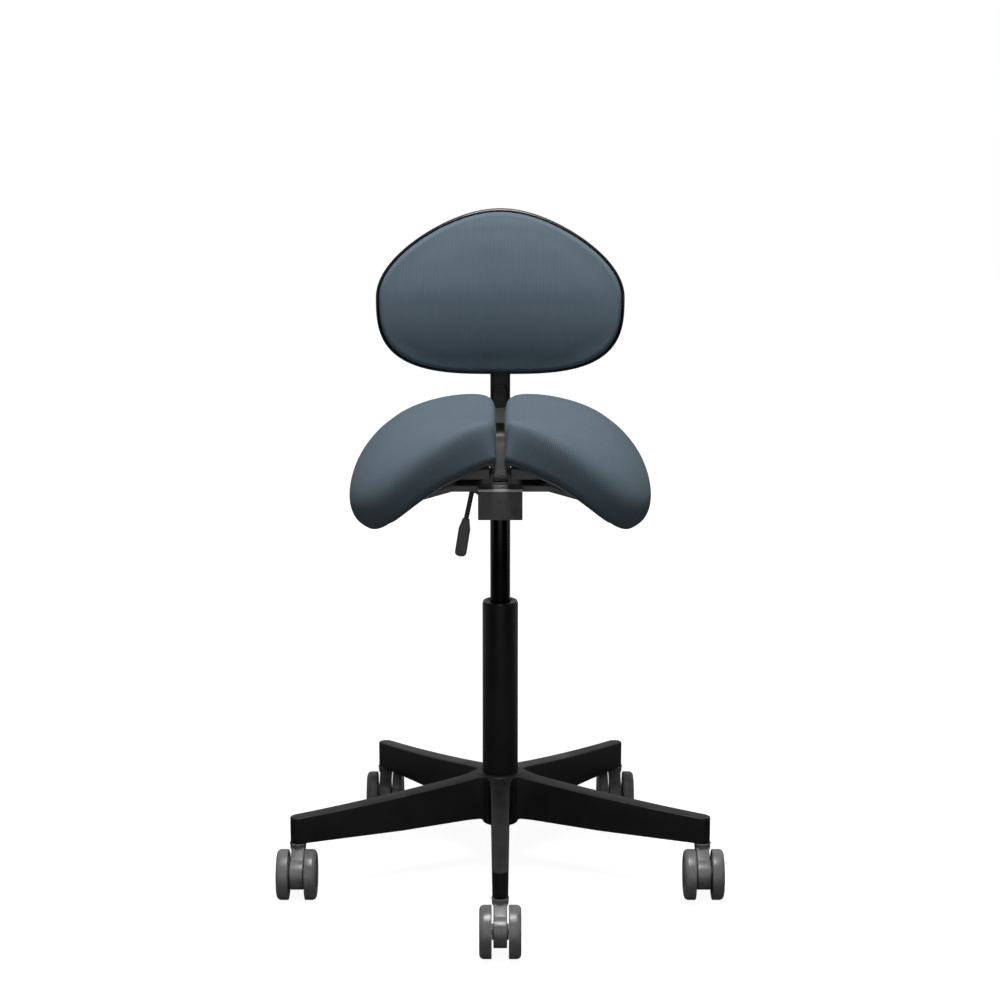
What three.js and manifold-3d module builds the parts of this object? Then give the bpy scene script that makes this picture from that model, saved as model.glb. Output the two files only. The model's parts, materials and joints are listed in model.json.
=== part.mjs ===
// Saddle stool: a divided saddle seat on a gas lift, with a five-caster base,
// a height lever and a backrest that slides on a bent steel bar.
// Millimetres, +Z up, -Y toward the sitter's knees, +X toward the sitter's left.
import * as THREE from 'three';
import { mergeVertices } from 'three/addons/utils/BufferGeometryUtils.js';
import Module from 'manifold-3d';

const wasm = await Module();
wasm.setup();

// Clearances shared by all pieces
const fit = 0.3;
const overrun = 2;

// Five-leg base
const legCount = 5;
const legReach = 295;
const legRootWidth = 27;
const legTipRadius = 10.5;
const legRootTop = 143;
const legRootBottom = 84;
const legTipTop = 110;
const legTipBottom = 72.9;
const legSag = 5;
const legWall = 3.5;
const hubRadius = 35;
const hubTop = 146;
const hubBottom = 80;
const hubChamfer = 4;
const socketCap = 5;

// Casters
const casterTrail = 27;
const wheelRadius = 35;
const wheelWidth = 16.2;
const wheelShoulder = 8;
const wheelInnerShoulder = 2;
const wheelSides = 20;
const wheelFaceRadius = 21;
const wheelFaceDepth = 1.4;
const wheelCapWall = 2;
const wheelArcShares = [0.5, 1];
const axleRadius = 3;
const yokeWidth = 18;
const yokeRadius = 21;
const yokeCollarRadius = 11.4;
const yokeCollarHeight = 9;
const yokeNeckDepth = 9.5;
const spacerRadius = 10.5;
const spacerLength = 1.9;
const stemRadius = 5.5;
const stemBottom = 46;
const yokeNeckDegrees = { lower: 46, upper: 63 };
const casterGap = 0.6;

// Gas lift
const columnRadius = 25;
const columnWall = 2;
const columnBottom = 71;
const columnTop = 392;
const columnFloor = 3;
const bushLength = 90;
const bushRimHeight = 3;
const bushRimInset = 1;
const tubeRadius = 14;
const tubeWall = 1.6;
const tubeBottom = 255;
const tubeTop = 543;
const tubeCap = 4;
const rodRadius = 5;
const rodFootDrop = 8;
const pistonLevel = 365;
const pistonHeight = 20;
const bearingRadius = 12;
const bearingHeight = 6;
const rodShoulderRadius = 9;
const rodShoulderHeight = 5;
const clipRadius = 9;
const clipHeight = 2.5;

// Lift mechanism under the seat
const housingWidth = 60.6;
const housingFront = -62;
const housingRear = 48;
const housingWall = 2.5;
const housingBrowDrop = 0.5;
const housingWindowShare = 0.5;
const socketRadius = 18;
const socketLap = 19;
const pinRadius = 3.2;
const pinDrop = 15;
const leverRise = 8;
const leverHeadroom = 7.3;
const leverRodRadius = 3;
const leverInnerReach = 2;
const leverBendX = 39;
const leverBendDrop = 8;
const leverKneeX = 47.3;
const leverKneeDrop = 39;
const leverTipX = 56;
const leverTipDrop = 54;
const gripTopWidth = 10;
const gripWidth = 16.5;
const gripThickness = 7;
const gripChamfer = 4;
const gripShoulderShare = 0.26;
const bushingRadius = 5;
const bushingLength = 6;
const leverBushClearance = 1;

// Cross plate that carries the two seat halves
const plateHalfWidth = 66;
const plateFront = -40;
const plateRear = 40;
const plateLip = 8.4;
const plateSheet = 3;
const wingReach = 107;
const wingSlope = 16;
const puckRadius = 17.5;
const puckHeight = 9.7;
const puckX = 45.6;
const bracketInnerX = 15;
const bracketOuterX = 66;
const bracketHalfDepth = 46;
const bracketSheet = 3;
const bracketHeight = 40;

// Divided saddle seat: each half is a thick sheet bent over the sitter's thigh.
// Sizes come in threes where they change from the front to the middle and the rear.
// The rise is counted from the middle of the inner edge, whose height comes from what carries it.
const seatGap = 12;
const seatFront = -136;
const seatRear = 188;
const seatFrontSweep = 55;
const seatRearSweep = 44;
const seatRise = { front: 33, middle: 0, rear: 12 };
const seatArc = { front: 243, middle: 277, rear: 256 };
const seatInnerThickness = { front: 72, middle: 56, rear: 59 };
const seatOuterThickness = { front: 55, middle: 66, rear: 61 };
const seatCrown = 4;
const shellThickness = 4;
const shellHeadroom = 1.66;

// Shapes of the saddle that don't depend on its size
const seatTurnDegrees = { front: 50, middle: 77, rear: 87 };
const seatTurnPower = { front: 0.36, middle: 1.45, rear: 1.87 };
const thickeningShare = 0.5;
const partingShare = 0.595;
const innerEdgeShare = 0.2;
const outerEdgeShare = 0.565;
const edgeGrowthPower = 1.5;
const innerEdgePower = 6;
const outerEdgePower = 2.4;
const innerPlanPower = 9.5;
const outerPlanPower = 6.2;
const sweepPower = 2.2;
const middleRingShares = [0.35, 0.7];
const edgeRingShares = [0, 0.4, 0.7, 0.88, 0.97, 1];
const shellEdgeRingCount = 3;
const middleShare = 0.5;
const seatSides = 48;
const arcSteps = 24;
const searchSteps = 30;

// Back bar and its clamp
const barWidth = 20;
const barThickness = 6;
const barFront = -28;
const barRear = 255;
const barRise = 86.4;
const barBend = 20;
const clampWidth = 28;
const clampFloor = 3;
const clampRoof = 5;
const clampFront = -34;
const clampRear = 84;
const clampFootWidth = 50;
const clampFootRear = 36;
const clampBossDrop = 11;
const clampScrewX = 19.5;
const clampScrewY = -14;
const screwHeadRadius = 4;
const screwHeadHeight = 3;
const screwShankRadius = 2.5;
const depthKnobY = 66;

// Sliding channel with its keeper and hand knobs
const channelWidth = 29.4;
const channelDepth = 14;
const channelWall = 2.5;
const channelLap = 61;
const channelLength = 219;
const keeperInset = 16;
const keeperHeight = 22;
const knobRadius = 15;
const knobLength = 16;
const knobLobes = 6;
const knobLobeSteps = 6;
const knobLobeDepth = 1.6;
const knobStemRadius = 4;

// Backrest
const backHalfWidth = 178.6;
const backUpperHeight = 124.4;
const backLowerHeight = 117.1;
const backShoulderShare = 0.235;
const backLowerPower = 2.96;
const backStandoff = 19.5;
const backPadThickness = 30;
const backPadRound = 7;
const backCrown = 12;
const backShellWall = 4;
const backRimWidth = 4.5;
const backRimHeight = 9;
const backRimRound = 1.5;
const backSideRadius = 600;
const backLumbarRadius = 620;
const backSides = 40;
const backWidestRise = 4.3;
const pivotDrop = 25;
const pivotPinRadius = 5;
const pivotHeadRadius = 8;
const pivotHeadLength = 3;
const earWall = 3;
const earRadius = 12;
const backBracketWidth = 70;
const backBracketHeight = 60;
const backBracketWall = 4;
const backRingShares = [0.45, 0.8];
const backRoundShares = [0, 0.5, 1];

const fullTurn = Math.PI * 2;
const roundSides = 24;
const smallSides = 16;
const boreSides = 12;
const curveSteps = 5;
const bendSteps = 7;
const arcEndSteps = 10;
const leverSteps = 12;

// Finishes
const finish = (color, roughness, metalness) => (
  new THREE.MeshStandardMaterial({ color, roughness, metalness })
);
const blackPaint = finish(0x1b1c1e, 0.42, 0.3);
const greyPaint = finish(0x3f4042, 0.5, 0.4);
const darkPlastic = finish(0x151617, 0.55, 0);
const glossPlastic = finish(0x0c0c0d, 0.2, 0);
const wheelPlastic = finish(0x232427, 0.45, 0);
const blackTube = finish(0x090909, 0.25, 0.5);
const steel = finish(0x9a9c9e, 0.35, 1);
const castGrey = finish(0x55575a, 0.45, 0.6);
const rubber = finish(0x1c1c1c, 0.85, 0);
const fabric = finish(0x52616b, 0.95, 0);

const stool = new THREE.Group();

// Levels, each from the piece that carries the next: tube, housing, plate, bar, channel, backrest
const pinBottom = tubeTop - pinDrop;
const leverLevel = tubeTop + leverRise;
const leverKneeLevel = leverLevel - leverKneeDrop;
const leverTipLevel = leverKneeLevel - leverTipDrop;
const housingBottom = tubeTop - socketLap;
const housingTop = leverLevel + leverHeadroom;
const plateBottom = housingTop + fit;
const plateTop = plateBottom + plateLip;
const housingBrow = plateTop - housingBrowDrop;
const barBottom = plateTop + fit + clampFloor + fit;
const barUpper = barBottom + barThickness;
const barTop = barBottom + barRise;
const channelBottom = barTop - channelLap;
const channelTop = channelBottom + channelLength;
const keeperLevel = channelBottom + keeperInset;
const pivotLevel = channelTop - pivotDrop;
const backWidestLevel = pivotLevel + backWidestRise;

// Helpers for closed meshes

// Merges shared vertices and drops the triangles that shrink to a line at a pole.
function weld(geometry) {
  geometry.deleteAttribute('normal');
  geometry.deleteAttribute('uv');
  const merged = mergeVertices(geometry);
  const old = merged.index.array;
  const kept = [];
  for (let i = 0; i < old.length; i += 3) {
    const [a, b, c] = [old[i], old[i + 1], old[i + 2]];
    if (a !== b && b !== c && c !== a) {
      kept.push(a, b, c);
    }
  }
  merged.setIndex(kept);
  return merged;
}

function toSolid(geometry) {
  const welded = weld(geometry.clone());
  const vertProperties = new Float32Array(welded.attributes.position.array);
  const triVerts = new Uint32Array(welded.index.array);
  return new wasm.Manifold(new wasm.Mesh({ numProp: 3, vertProperties, triVerts }));
}

function toGeometry(solid) {
  const mesh = solid.getMesh();
  const geometry = new THREE.BufferGeometry();
  geometry.setAttribute('position', new THREE.BufferAttribute(mesh.vertProperties, 3));
  geometry.setIndex(new THREE.BufferAttribute(mesh.triVerts, 1));
  return geometry;
}

function join(...geometries) {
  const solids = geometries.map(toSolid);
  return toGeometry(solids.reduce((whole, piece) => whole.add(piece)));
}

function common(...geometries) {
  const solids = geometries.map(toSolid);
  return toGeometry(solids.reduce((whole, piece) => whole.intersect(piece)));
}

function cut(geometry, ...tools) {
  const solids = tools.map(toSolid);
  return toGeometry(solids.reduce((whole, tool) => whole.subtract(tool), toSolid(geometry)));
}

function addPart(name, geometry, material, parent = stool) {
  const mesh = new THREE.Mesh(geometry, material);
  mesh.name = name;
  parent.add(mesh);
  return mesh;
}

function box(x0, x1, y0, y1, z0, z1) {
  const geometry = new THREE.BoxGeometry(x1 - x0, y1 - y0, z1 - z0);
  return geometry.translate((x0 + x1) / 2, (y0 + y1) / 2, (z0 + z1) / 2);
}

// Turned piece about Z. Points are [radius, height], counter-clockwise in that plane.
function turned(points, sides = roundSides, startAngle = 0) {
  const profile = points.map(([radius, height]) => new THREE.Vector2(radius, height));
  return weld(new THREE.LatheGeometry(profile, sides, startAngle)).rotateX(Math.PI / 2);
}

function ring(innerRadius, outerRadius, bottom, top, sides = roundSides) {
  return turned([
    [innerRadius, bottom],
    [outerRadius, bottom],
    [outerRadius, top],
    [innerRadius, top],
    [innerRadius, bottom],
  ], sides);
}

function rodZ(radius, bottom, top, sides = smallSides) {
  return turned([[0, bottom], [radius, bottom], [radius, top], [0, top]], sides);
}

// Round bar along X between x0 and x1, on the axis through y and z.
function rodX(radius, x0, x1, y, z, sides = smallSides) {
  return rodZ(radius, x0, x1, sides).rotateY(Math.PI / 2).translate(0, y, z);
}

// Round bar along Y between y0 and y1, on the axis through x and z.
function rodY(radius, y0, y1, x, z, sides = smallSides) {
  return rodZ(radius, -y1, -y0, sides).rotateX(Math.PI / 2).translate(x, 0, z);
}

function outline(points) {
  return new THREE.Shape(points.map(([u, v]) => new THREE.Vector2(u, v)));
}

function extruded(shape, depth, curveSegments = curveSteps) {
  return new THREE.ExtrudeGeometry(shape, { depth, curveSegments, bevelEnabled: false });
}

// A (y, z) outline drawn out along X.
function prismX(shape, x0, x1, curveSegments) {
  const axes = new THREE.Matrix4().makeBasis(
    new THREE.Vector3(0, 1, 0),
    new THREE.Vector3(0, 0, 1),
    new THREE.Vector3(1, 0, 0),
  );
  return extruded(shape, x1 - x0, curveSegments).applyMatrix4(axes).translate(x0, 0, 0);
}

// An (x, z) outline drawn out along Y.
function prismY(shape, y0, y1, curveSegments) {
  return extruded(shape, y1 - y0, curveSegments).rotateX(Math.PI / 2).translate(0, y1, 0);
}

// An (x, y) outline drawn out along Z.
function prismZ(shape, z0, z1, curveSegments) {
  return extruded(shape, z1 - z0, curveSegments).translate(0, 0, z0);
}

// Closed body from a pole, rings of points and a second pole.
// Each four-cornered face is split along its shorter diagonal.
function fromRings(firstPole, rings, lastPole, mirrored = false) {
  const sides = rings[0].length;
  const points = [firstPole, ...rings.flat(), lastPole];
  const index = [];
  const addTriangle = (a, b, c) => index.push(...(mirrored ? [a, c, b] : [a, b, c]));
  const addFace = (a, b, c, d) => {
    if (points[a].distanceTo(points[c]) <= points[b].distanceTo(points[d])) {
      addTriangle(a, b, c);
      addTriangle(a, c, d);
    } else {
      addTriangle(a, b, d);
      addTriangle(b, c, d);
    }
  };
  for (let side = 0; side < sides; side += 1) {
    const next = (side + 1) % sides;
    addTriangle(0, 1 + side, 1 + next);
    for (let level = 0; level < rings.length - 1; level += 1) {
      const here = 1 + level * sides;
      const below = here + sides;
      addFace(here + side, below + side, below + next, here + next);
    }
    const last = 1 + (rings.length - 1) * sides;
    addTriangle(last + side, points.length - 1, last + next);
  }
  const geometry = new THREE.BufferGeometry().setFromPoints(points);
  geometry.setIndex(index);
  return geometry;
}

const radians = THREE.MathUtils.degToRad;

// Point at an angle on a closed curve that reaches 1 each way and grows squarer with its power
function squarePoint(angle, power) {
  const [toSide, toEnd] = [Math.cos(angle), Math.sin(angle)];
  const reach = (Math.abs(toSide) ** power + Math.abs(toEnd) ** power) ** (-1 / power);
  return [toSide * reach, toEnd * reach];
}

// Base: hub and five hollow-backed legs, each with a caster socket at its tip

// Side view of a leg, from the column axis out past its tip: its underside and its top.
function legUnderside(shape, tipEnd) {
  shape.moveTo(0, legRootBottom);
  shape.lineTo(legReach / 2, (legRootBottom + legTipBottom) / 2 - legSag / 2);
  shape.lineTo(legReach - legTipRadius, legTipBottom);
  shape.lineTo(tipEnd, legTipBottom);
}

function legTop(shape, tipEnd, drop) {
  const middleTop = (legRootTop + legTipTop) / 2 - legSag;
  shape.lineTo(tipEnd, legTipTop - drop);
  shape.quadraticCurveTo((hubRadius + legReach) / 2, middleTop - drop, hubRadius, legRootTop - drop);
  shape.lineTo(0, legRootTop - drop);
}

function legPlan() {
  const shape = new THREE.Shape();
  shape.moveTo(0, -legRootWidth / 2);
  shape.lineTo(legReach, -legTipRadius);
  shape.absarc(legReach, 0, legTipRadius, -Math.PI / 2, Math.PI / 2);
  shape.lineTo(0, legRootWidth / 2);
  return shape;
}

const legBlockBottom = legTipBottom - legSag;
const legTipEnd = legReach + legTipRadius + overrun;

function leg() {
  const side = new THREE.Shape();
  legUnderside(side, legTipEnd);
  legTop(side, legTipEnd, 0);
  const plan = prismZ(legPlan(), legBlockBottom - overrun, legRootTop + overrun);
  return common(plan, prismY(side, -legRootWidth, legRootWidth));
}

// Space under a leg, from the hub to the wall of the caster socket
function legHollow() {
  const side = new THREE.Shape();
  side.moveTo(0, legBlockBottom - overrun);
  side.lineTo(legTipEnd, legBlockBottom - overrun);
  legTop(side, legTipEnd, legWall);
  const plan = new THREE.Shape();
  const start = hubRadius + legWall;
  const end = legReach - legTipRadius - legWall;
  const halfWidth = (reach) => (
    legRootWidth / 2 + ((legTipRadius - legRootWidth / 2) * reach) / legReach - legWall
  );
  plan.moveTo(start, -halfWidth(start));
  plan.lineTo(end, -halfWidth(end));
  plan.lineTo(end, halfWidth(end));
  plan.lineTo(start, halfWidth(start));
  return common(
    prismY(side, -legRootWidth, legRootWidth),
    prismZ(plan, legBlockBottom - overrun, legRootTop),
  );
}

const legAngle = (i) => -Math.PI / 2 + (i * fullTurn) / legCount;

function starBase() {
  const hub = turned([
    [0, hubBottom],
    [hubRadius, hubBottom],
    [hubRadius, hubTop - hubChamfer],
    [hubRadius - hubChamfer, hubTop],
    [0, hubTop],
  ]);
  const legs = [];
  const hollows = [];
  for (let i = 0; i < legCount; i += 1) {
    const socket = rodZ(stemRadius + fit, legTipBottom - overrun, legTipTop - socketCap, boreSides)
      .translate(legReach, 0, 0);
    legs.push(leg().rotateZ(legAngle(i)));
    hollows.push(legHollow().rotateZ(legAngle(i)));
    hollows.push(socket.rotateZ(legAngle(i)));
  }
  const bore = rodZ(columnRadius + fit, hubBottom - overrun, hubTop + overrun, roundSides);
  return cut(join(hub, ...legs), bore, ...hollows);
}
addPart('star_base', starBase(), blackPaint);

// Casters: yoke, stem, axle and two wheels, trailing toward the front

const wheelInner = yokeWidth / 2 + spacerLength + fit;
const wheelOuter = wheelInner + wheelWidth;
const axleEnd = wheelOuter - wheelCapWall - wheelFaceDepth - fit;
const yokeTop = legTipBottom - casterGap;

function yoke() {
  const disc = rodX(yokeRadius, -yokeWidth / 2, yokeWidth / 2, -casterTrail, wheelRadius, smallSides);
  const spacerEnd = yokeWidth / 2 + spacerLength;
  const spacer = rodX(spacerRadius, -spacerEnd, spacerEnd, -casterTrail, wheelRadius, boreSides);
  const neckLevel = (wheelRadius + yokeTop) / 2;
  const lower = radians(yokeNeckDegrees.lower);
  const upper = radians(yokeNeckDegrees.upper);
  const neck = prismX(outline([
    [yokeNeckDepth, yokeTop - casterGap],
    [yokeNeckDepth, neckLevel],
    [yokeRadius * Math.cos(lower) - casterTrail, wheelRadius - yokeRadius * Math.sin(lower)],
    [-casterTrail, wheelRadius],
    [-yokeRadius * Math.cos(upper) - casterTrail, wheelRadius + yokeRadius * Math.sin(upper)],
    [-yokeNeckDepth, yokeTop - casterGap],
  ]), -yokeWidth / 2, yokeWidth / 2);
  const collar = rodZ(yokeCollarRadius, yokeTop - yokeCollarHeight, yokeTop);
  const stemBore = rodZ(stemRadius + fit, stemBottom - fit, yokeTop + overrun, boreSides);
  const boreEnd = spacerEnd + overrun;
  const bore = rodX(axleRadius + fit, -boreEnd, boreEnd, -casterTrail, wheelRadius, boreSides);
  return cut(join(disc, spacer, neck, collar), stemBore, bore);
}

// Wheel turned about its axle, with a flat facet underneath so that it stands still.
function wheel(side) {
  const facet = 1 / Math.cos(Math.PI / wheelSides);
  const treadRadius = wheelRadius * facet;
  const shoulderStart = wheelOuter - wheelShoulder;
  const arc = wheelArcShares.map((share) => [
    treadRadius - wheelShoulder * (1 - Math.cos(share * Math.PI / 2)),
    shoulderStart + wheelShoulder * Math.sin(share * Math.PI / 2),
  ]);
  const profile = [
    [0, axleEnd + fit],
    [axleRadius + fit, axleEnd + fit],
    [axleRadius + fit, wheelInner],
    [treadRadius - wheelInnerShoulder, wheelInner],
    [treadRadius, wheelInner + wheelInnerShoulder],
    [treadRadius, shoulderStart],
    ...arc,
    [wheelFaceRadius, wheelOuter],
    [wheelFaceRadius - wheelFaceDepth, wheelOuter - wheelFaceDepth],
    [0, wheelOuter - wheelFaceDepth],
  ];
  const upright = profile.reverse().map(([radius, x]) => [radius, -x]);
  return turned(upright, wheelSides, Math.PI / wheelSides).rotateY(side * -Math.PI / 2);
}

const stemTop = legTipTop - socketCap - fit;

for (let i = 0; i < legCount; i += 1) {
  const caster = new THREE.Group();
  caster.position.set(legReach * Math.cos(legAngle(i)), legReach * Math.sin(legAngle(i)), 0);
  stool.add(caster);
  addPart(`caster_stem_${i + 1}`, rodZ(stemRadius, stemBottom, stemTop, boreSides), steel, caster);
  addPart(`caster_yoke_${i + 1}`, yoke(), darkPlastic, caster);
  const axle = rodX(axleRadius, -axleEnd, axleEnd, -casterTrail, wheelRadius, boreSides);
  addPart(`caster_axle_${i + 1}`, axle, steel, caster);
  for (const [name, side] of [['right', -1], ['left', 1]]) {
    const roller = addPart(`wheel_${name}_${i + 1}`, wheel(side), wheelPlastic, caster);
    roller.position.set(0, -casterTrail, wheelRadius);
  }
}

// Gas lift: outer column, guide bush, thrust bearing, rod with piston and pressure tube

const columnBore = columnRadius - columnWall;
const floorTop = columnBottom + columnFloor;
const rodHole = rodRadius + fit;

addPart('column_tube', turned([
  [rodHole, columnBottom],
  [columnRadius, columnBottom],
  [columnRadius, columnTop],
  [columnBore, columnTop],
  [columnBore, floorTop],
  [rodHole, floorTop],
  [rodHole, columnBottom],
]), blackPaint);

addPart('guide_bush', turned([
  [tubeRadius + fit, columnTop - bushLength],
  [columnBore - fit, columnTop - bushLength],
  [columnBore - fit, columnTop],
  [columnRadius - bushRimInset, columnTop],
  [columnRadius - bushRimInset, columnTop + bushRimHeight],
  [tubeRadius + fit, columnTop + bushRimHeight],
  [tubeRadius + fit, columnTop - bushLength],
]), darkPlastic);

const bearingBottom = floorTop + fit;
const bearingTop = bearingBottom + bearingHeight;
addPart('thrust_bearing', ring(rodHole, bearingRadius, bearingBottom, bearingTop), steel);

const shoulderBottom = bearingTop + fit;
const rodBottom = columnBottom - rodFootDrop;
addPart('piston_rod', turned([
  [0, rodBottom],
  [rodRadius, rodBottom],
  [rodRadius, shoulderBottom],
  [rodShoulderRadius, shoulderBottom],
  [rodShoulderRadius, shoulderBottom + rodShoulderHeight],
  [rodRadius, shoulderBottom + rodShoulderHeight],
  [rodRadius, pistonLevel - fit],
  [0, pistonLevel - fit],
], smallSides), steel);

const clipTop = columnBottom - fit;
addPart('rod_clip', ring(rodHole, clipRadius, clipTop - clipHeight, clipTop, smallSides), steel);

const tubeBore = tubeRadius - tubeWall;
addPart('piston', rodZ(tubeBore - fit, pistonLevel, pistonLevel + pistonHeight, roundSides), darkPlastic);

addPart('pressure_tube', turned([
  [rodHole, tubeBottom],
  [tubeRadius, tubeBottom],
  [tubeRadius, tubeTop],
  [pinRadius + fit, tubeTop],
  [pinRadius + fit, tubeTop - tubeCap],
  [tubeBore, tubeTop - tubeCap],
  [tubeBore, tubeBottom + tubeCap],
  [rodHole, tubeBottom + tubeCap],
  [rodHole, tubeBottom],
]), blackTube);

const pinTop = leverLevel - leverRodRadius - fit;
addPart('release_pin', rodZ(pinRadius, pinBottom, pinTop, smallSides), steel);

// Lift mechanism: folded housing with its welded socket, and the height lever

const leverPivotX = -housingWidth / 2;

function housing() {
  const half = housingWidth / 2;
  const browRear = plateFront - casterGap;
  const shell = prismX(outline([
    [housingFront, housingBottom],
    [housingRear, housingBottom],
    [housingRear, housingTop],
    [browRear, housingTop],
    [browRear, housingBrow],
    [housingFront, housingBrow],
  ]), -half, half);
  const space = prismX(outline([
    [housingFront + housingWall, housingBottom + housingWall],
    [housingRear - housingWall, housingBottom + housingWall],
    [housingRear - housingWall, housingTop - housingWall],
    [browRear - housingWall, housingTop - housingWall],
    [browRear - housingWall, housingBrow - housingWall],
    [housingFront + housingWall, housingBrow - housingWall],
  ]), housingWall - half, half - housingWall);
  const socketBore = rodZ(tubeRadius + fit, housingBottom - overrun, housingTop - housingWall, roundSides);
  const socketTop = tubeTop - tubeCap;
  const socket = ring(tubeRadius + fit, socketRadius, housingBottom, socketTop);
  const leverHole = rodX(bushingRadius + fit, -half - overrun, -half + housingWall + overrun, 0, leverLevel);
  const rearWindow = box(
    -half * housingWindowShare, half * housingWindowShare,
    housingRear - housingWall - overrun, housingRear + overrun,
    housingBottom + housingWall * 2, housingTop - housingWall * 2,
  );
  return cut(join(cut(shell, space), socket), socketBore, leverHole, rearWindow);
}
addPart('mechanism_housing', housing(), greyPaint);

function leverBushing() {
  const start = leverPivotX - bushingLength / 2;
  const end = leverPivotX + bushingLength / 2;
  const body = rodX(bushingRadius, start, end, 0, leverLevel);
  const boreRadius = leverRodRadius + leverBushClearance;
  return cut(body, rodX(boreRadius, start - overrun, end + overrun, 0, leverLevel));
}
addPart('lever_bushing', leverBushing(), darkPlastic);

function leverRod() {
  const path = new THREE.CurvePath();
  const inner = new THREE.Vector3(leverInnerReach, 0, leverLevel);
  const bendStart = new THREE.Vector3(leverBendDrop - leverBendX, 0, leverLevel);
  const bendCorner = new THREE.Vector3(-leverBendX, 0, leverLevel);
  const knee = new THREE.Vector3(-leverKneeX, 0, leverKneeLevel);
  const bendEnd = bendCorner.clone().lerp(knee, leverBendDrop / (leverLevel - leverKneeLevel));
  path.add(new THREE.LineCurve3(inner, bendStart));
  path.add(new THREE.QuadraticBezierCurve3(bendStart, bendCorner, bendEnd));
  path.add(new THREE.LineCurve3(bendEnd, knee));
  const section = new THREE.Shape();
  section.absarc(0, 0, leverRodRadius, 0, fullTurn);
  return new THREE.ExtrudeGeometry(section, {
    steps: leverSteps,
    extrudePath: path,
    curveSegments: curveSteps,
  });
}
addPart('lever_rod', leverRod(), blackPaint);

// Flat paddle on the lever's lower end, drawn in its own plane and then hung on the knee
function leverGrip() {
  const length = Math.hypot(leverTipX - leverKneeX, leverTipLevel - leverKneeLevel);
  const lean = Math.atan2(leverTipX - leverKneeX, leverKneeLevel - leverTipLevel);
  const shoulder = length * gripShoulderShare;
  const shape = outline([
    [-gripTopWidth / 2, 0],
    [-gripWidth / 2, -shoulder],
    [-gripWidth / 2, gripChamfer - length],
    [gripChamfer - gripWidth / 2, -length],
    [gripWidth / 2 - gripChamfer, -length],
    [gripWidth / 2, gripChamfer - length],
    [gripWidth / 2, -shoulder],
    [gripTopWidth / 2, 0],
  ]);
  const paddle = prismY(shape, -gripThickness / 2, gripThickness / 2);
  return paddle.rotateY(lean).translate(-leverKneeX, 0, leverKneeLevel - fit);
}
addPart('lever_grip', leverGrip(), darkPlastic);

// Saddle seat: a sheet bent over an arch, whose path changes from front to rear

// Quadratic through the front, middle and rear values; along runs from 0 to 1.
function between(sizes, along) {
  const { front, middle, rear } = sizes;
  const t = 2 * along - 1;
  return middle + (t * (rear - front)) / 2 + t * t * ((front + rear) / 2 - middle);
}

const smoothStep = (t) => {
  const s = Math.min(Math.max(t, 0), 1);
  return s * s * (3 - 2 * s);
};

// Point of the half at x > 0, a given depth below the top of the arch, with z counted as the rise is.
// across runs from the inner edge (0) to the outer edge (1). The inner face is flat, so the gap is even.
function archShape(across, along, depth) {
  const turn = radians(between(seatTurnDegrees, along));
  const power = between(seatTurnPower, along);
  const arc = between(seatArc, along) * across;
  const innerFace = seatGap / 2;
  let x = innerFace;
  let z = between(seatRise, along);
  for (let step = 0; step < arcSteps; step += 1) {
    const angle = turn * ((across * (step + 0.5)) / arcSteps) ** power;
    x += (Math.cos(angle) * arc) / arcSteps;
    z -= (Math.sin(angle) * arc) / arcSteps;
  }
  const slope = turn * across ** power;
  const front = seatFront + seatFrontSweep * across ** sweepPower;
  const rear = seatRear - seatRearSweep * across * across;
  const y = front * (1 - along) + rear * along;
  const acrossDepth = Math.max(x - depth * Math.sin(slope), innerFace);
  return new THREE.Vector3(acrossDepth, y, z - depth * Math.cos(slope));
}

function seatThickness(across, along) {
  const inner = between(seatInnerThickness, along);
  const outer = between(seatOuterThickness, along);
  return inner + (outer - inner) * smoothStep(across / thickeningShare);
}

const shellDepth = fit + shellThickness;
const puckBottom = plateTop + fit;
const puckTop = puckBottom + puckHeight;

// Height of a shell's underside, counted as the rise is, over a given x halfway along the seat
function undersideHeight(x) {
  const underside = (across) => (
    archShape(across, middleShare, seatThickness(across, middleShare) + shellDepth)
  );
  let near = 0;
  let far = 1;
  for (let step = 0; step < searchSteps; step += 1) {
    const across = (near + far) / 2;
    if (underside(across).x < x) {
      near = across;
    } else {
      far = across;
    }
  }
  return underside(near).z;
}

// The shells clear the pucks' outer edges, which sets the height of the seat.
const seatLevel = puckTop + shellHeadroom - undersideHeight(puckX + puckRadius);

function archPoint(across, along, depth) {
  const point = archShape(across, along, depth);
  return point.setZ(point.z + seatLevel);
}

// Depths of the cushion's top and underside on one ring of its plan.
// edge is 0 inside the rounded edge and grows to 1 at the rim.
function seatRing(ringShare, edge, extraDepth, isTop) {
  const points = [];
  for (let side = 0; side < seatSides; side += 1) {
    const angle = (side / seatSides) * fullTurn;
    const planPower = Math.cos(angle) < 0 ? innerPlanPower : outerPlanPower;
    const [toOuter, toRear] = squarePoint(angle, planPower);
    const outward = (1 + toOuter) / 2;
    const edgeGrowth = outward ** edgeGrowthPower;
    const edgeShare = innerEdgeShare + (outerEdgeShare - innerEdgeShare) * edgeGrowth;
    const power = innerEdgePower + (outerEdgePower - innerEdgePower) * outward;
    const share = ringShare * (1 - edgeShare) + edge * edgeShare;
    const height = (1 - edge ** power) ** (1 / power);
    const across = (share * toOuter + 1) / 2;
    const along = (share * toRear + 1) / 2;
    const thickness = seatThickness(across, along);
    const parting = thickness * partingShare;
    const crown = seatCrown * (1 - share * share);
    const topDepth = parting * (1 - height) - crown;
    const underDepth = parting + (thickness - parting) * height;
    points.push(archPoint(across, along, (isTop ? topDepth : underDepth) + extraDepth));
  }
  return points;
}

const ringSteps = [
  ...middleRingShares.map((share) => [share, 0]),
  ...edgeRingShares.map((edge) => [1, edge]),
];

function seatPole(depth) {
  return archPoint(middleShare, middleShare, depth);
}

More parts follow.
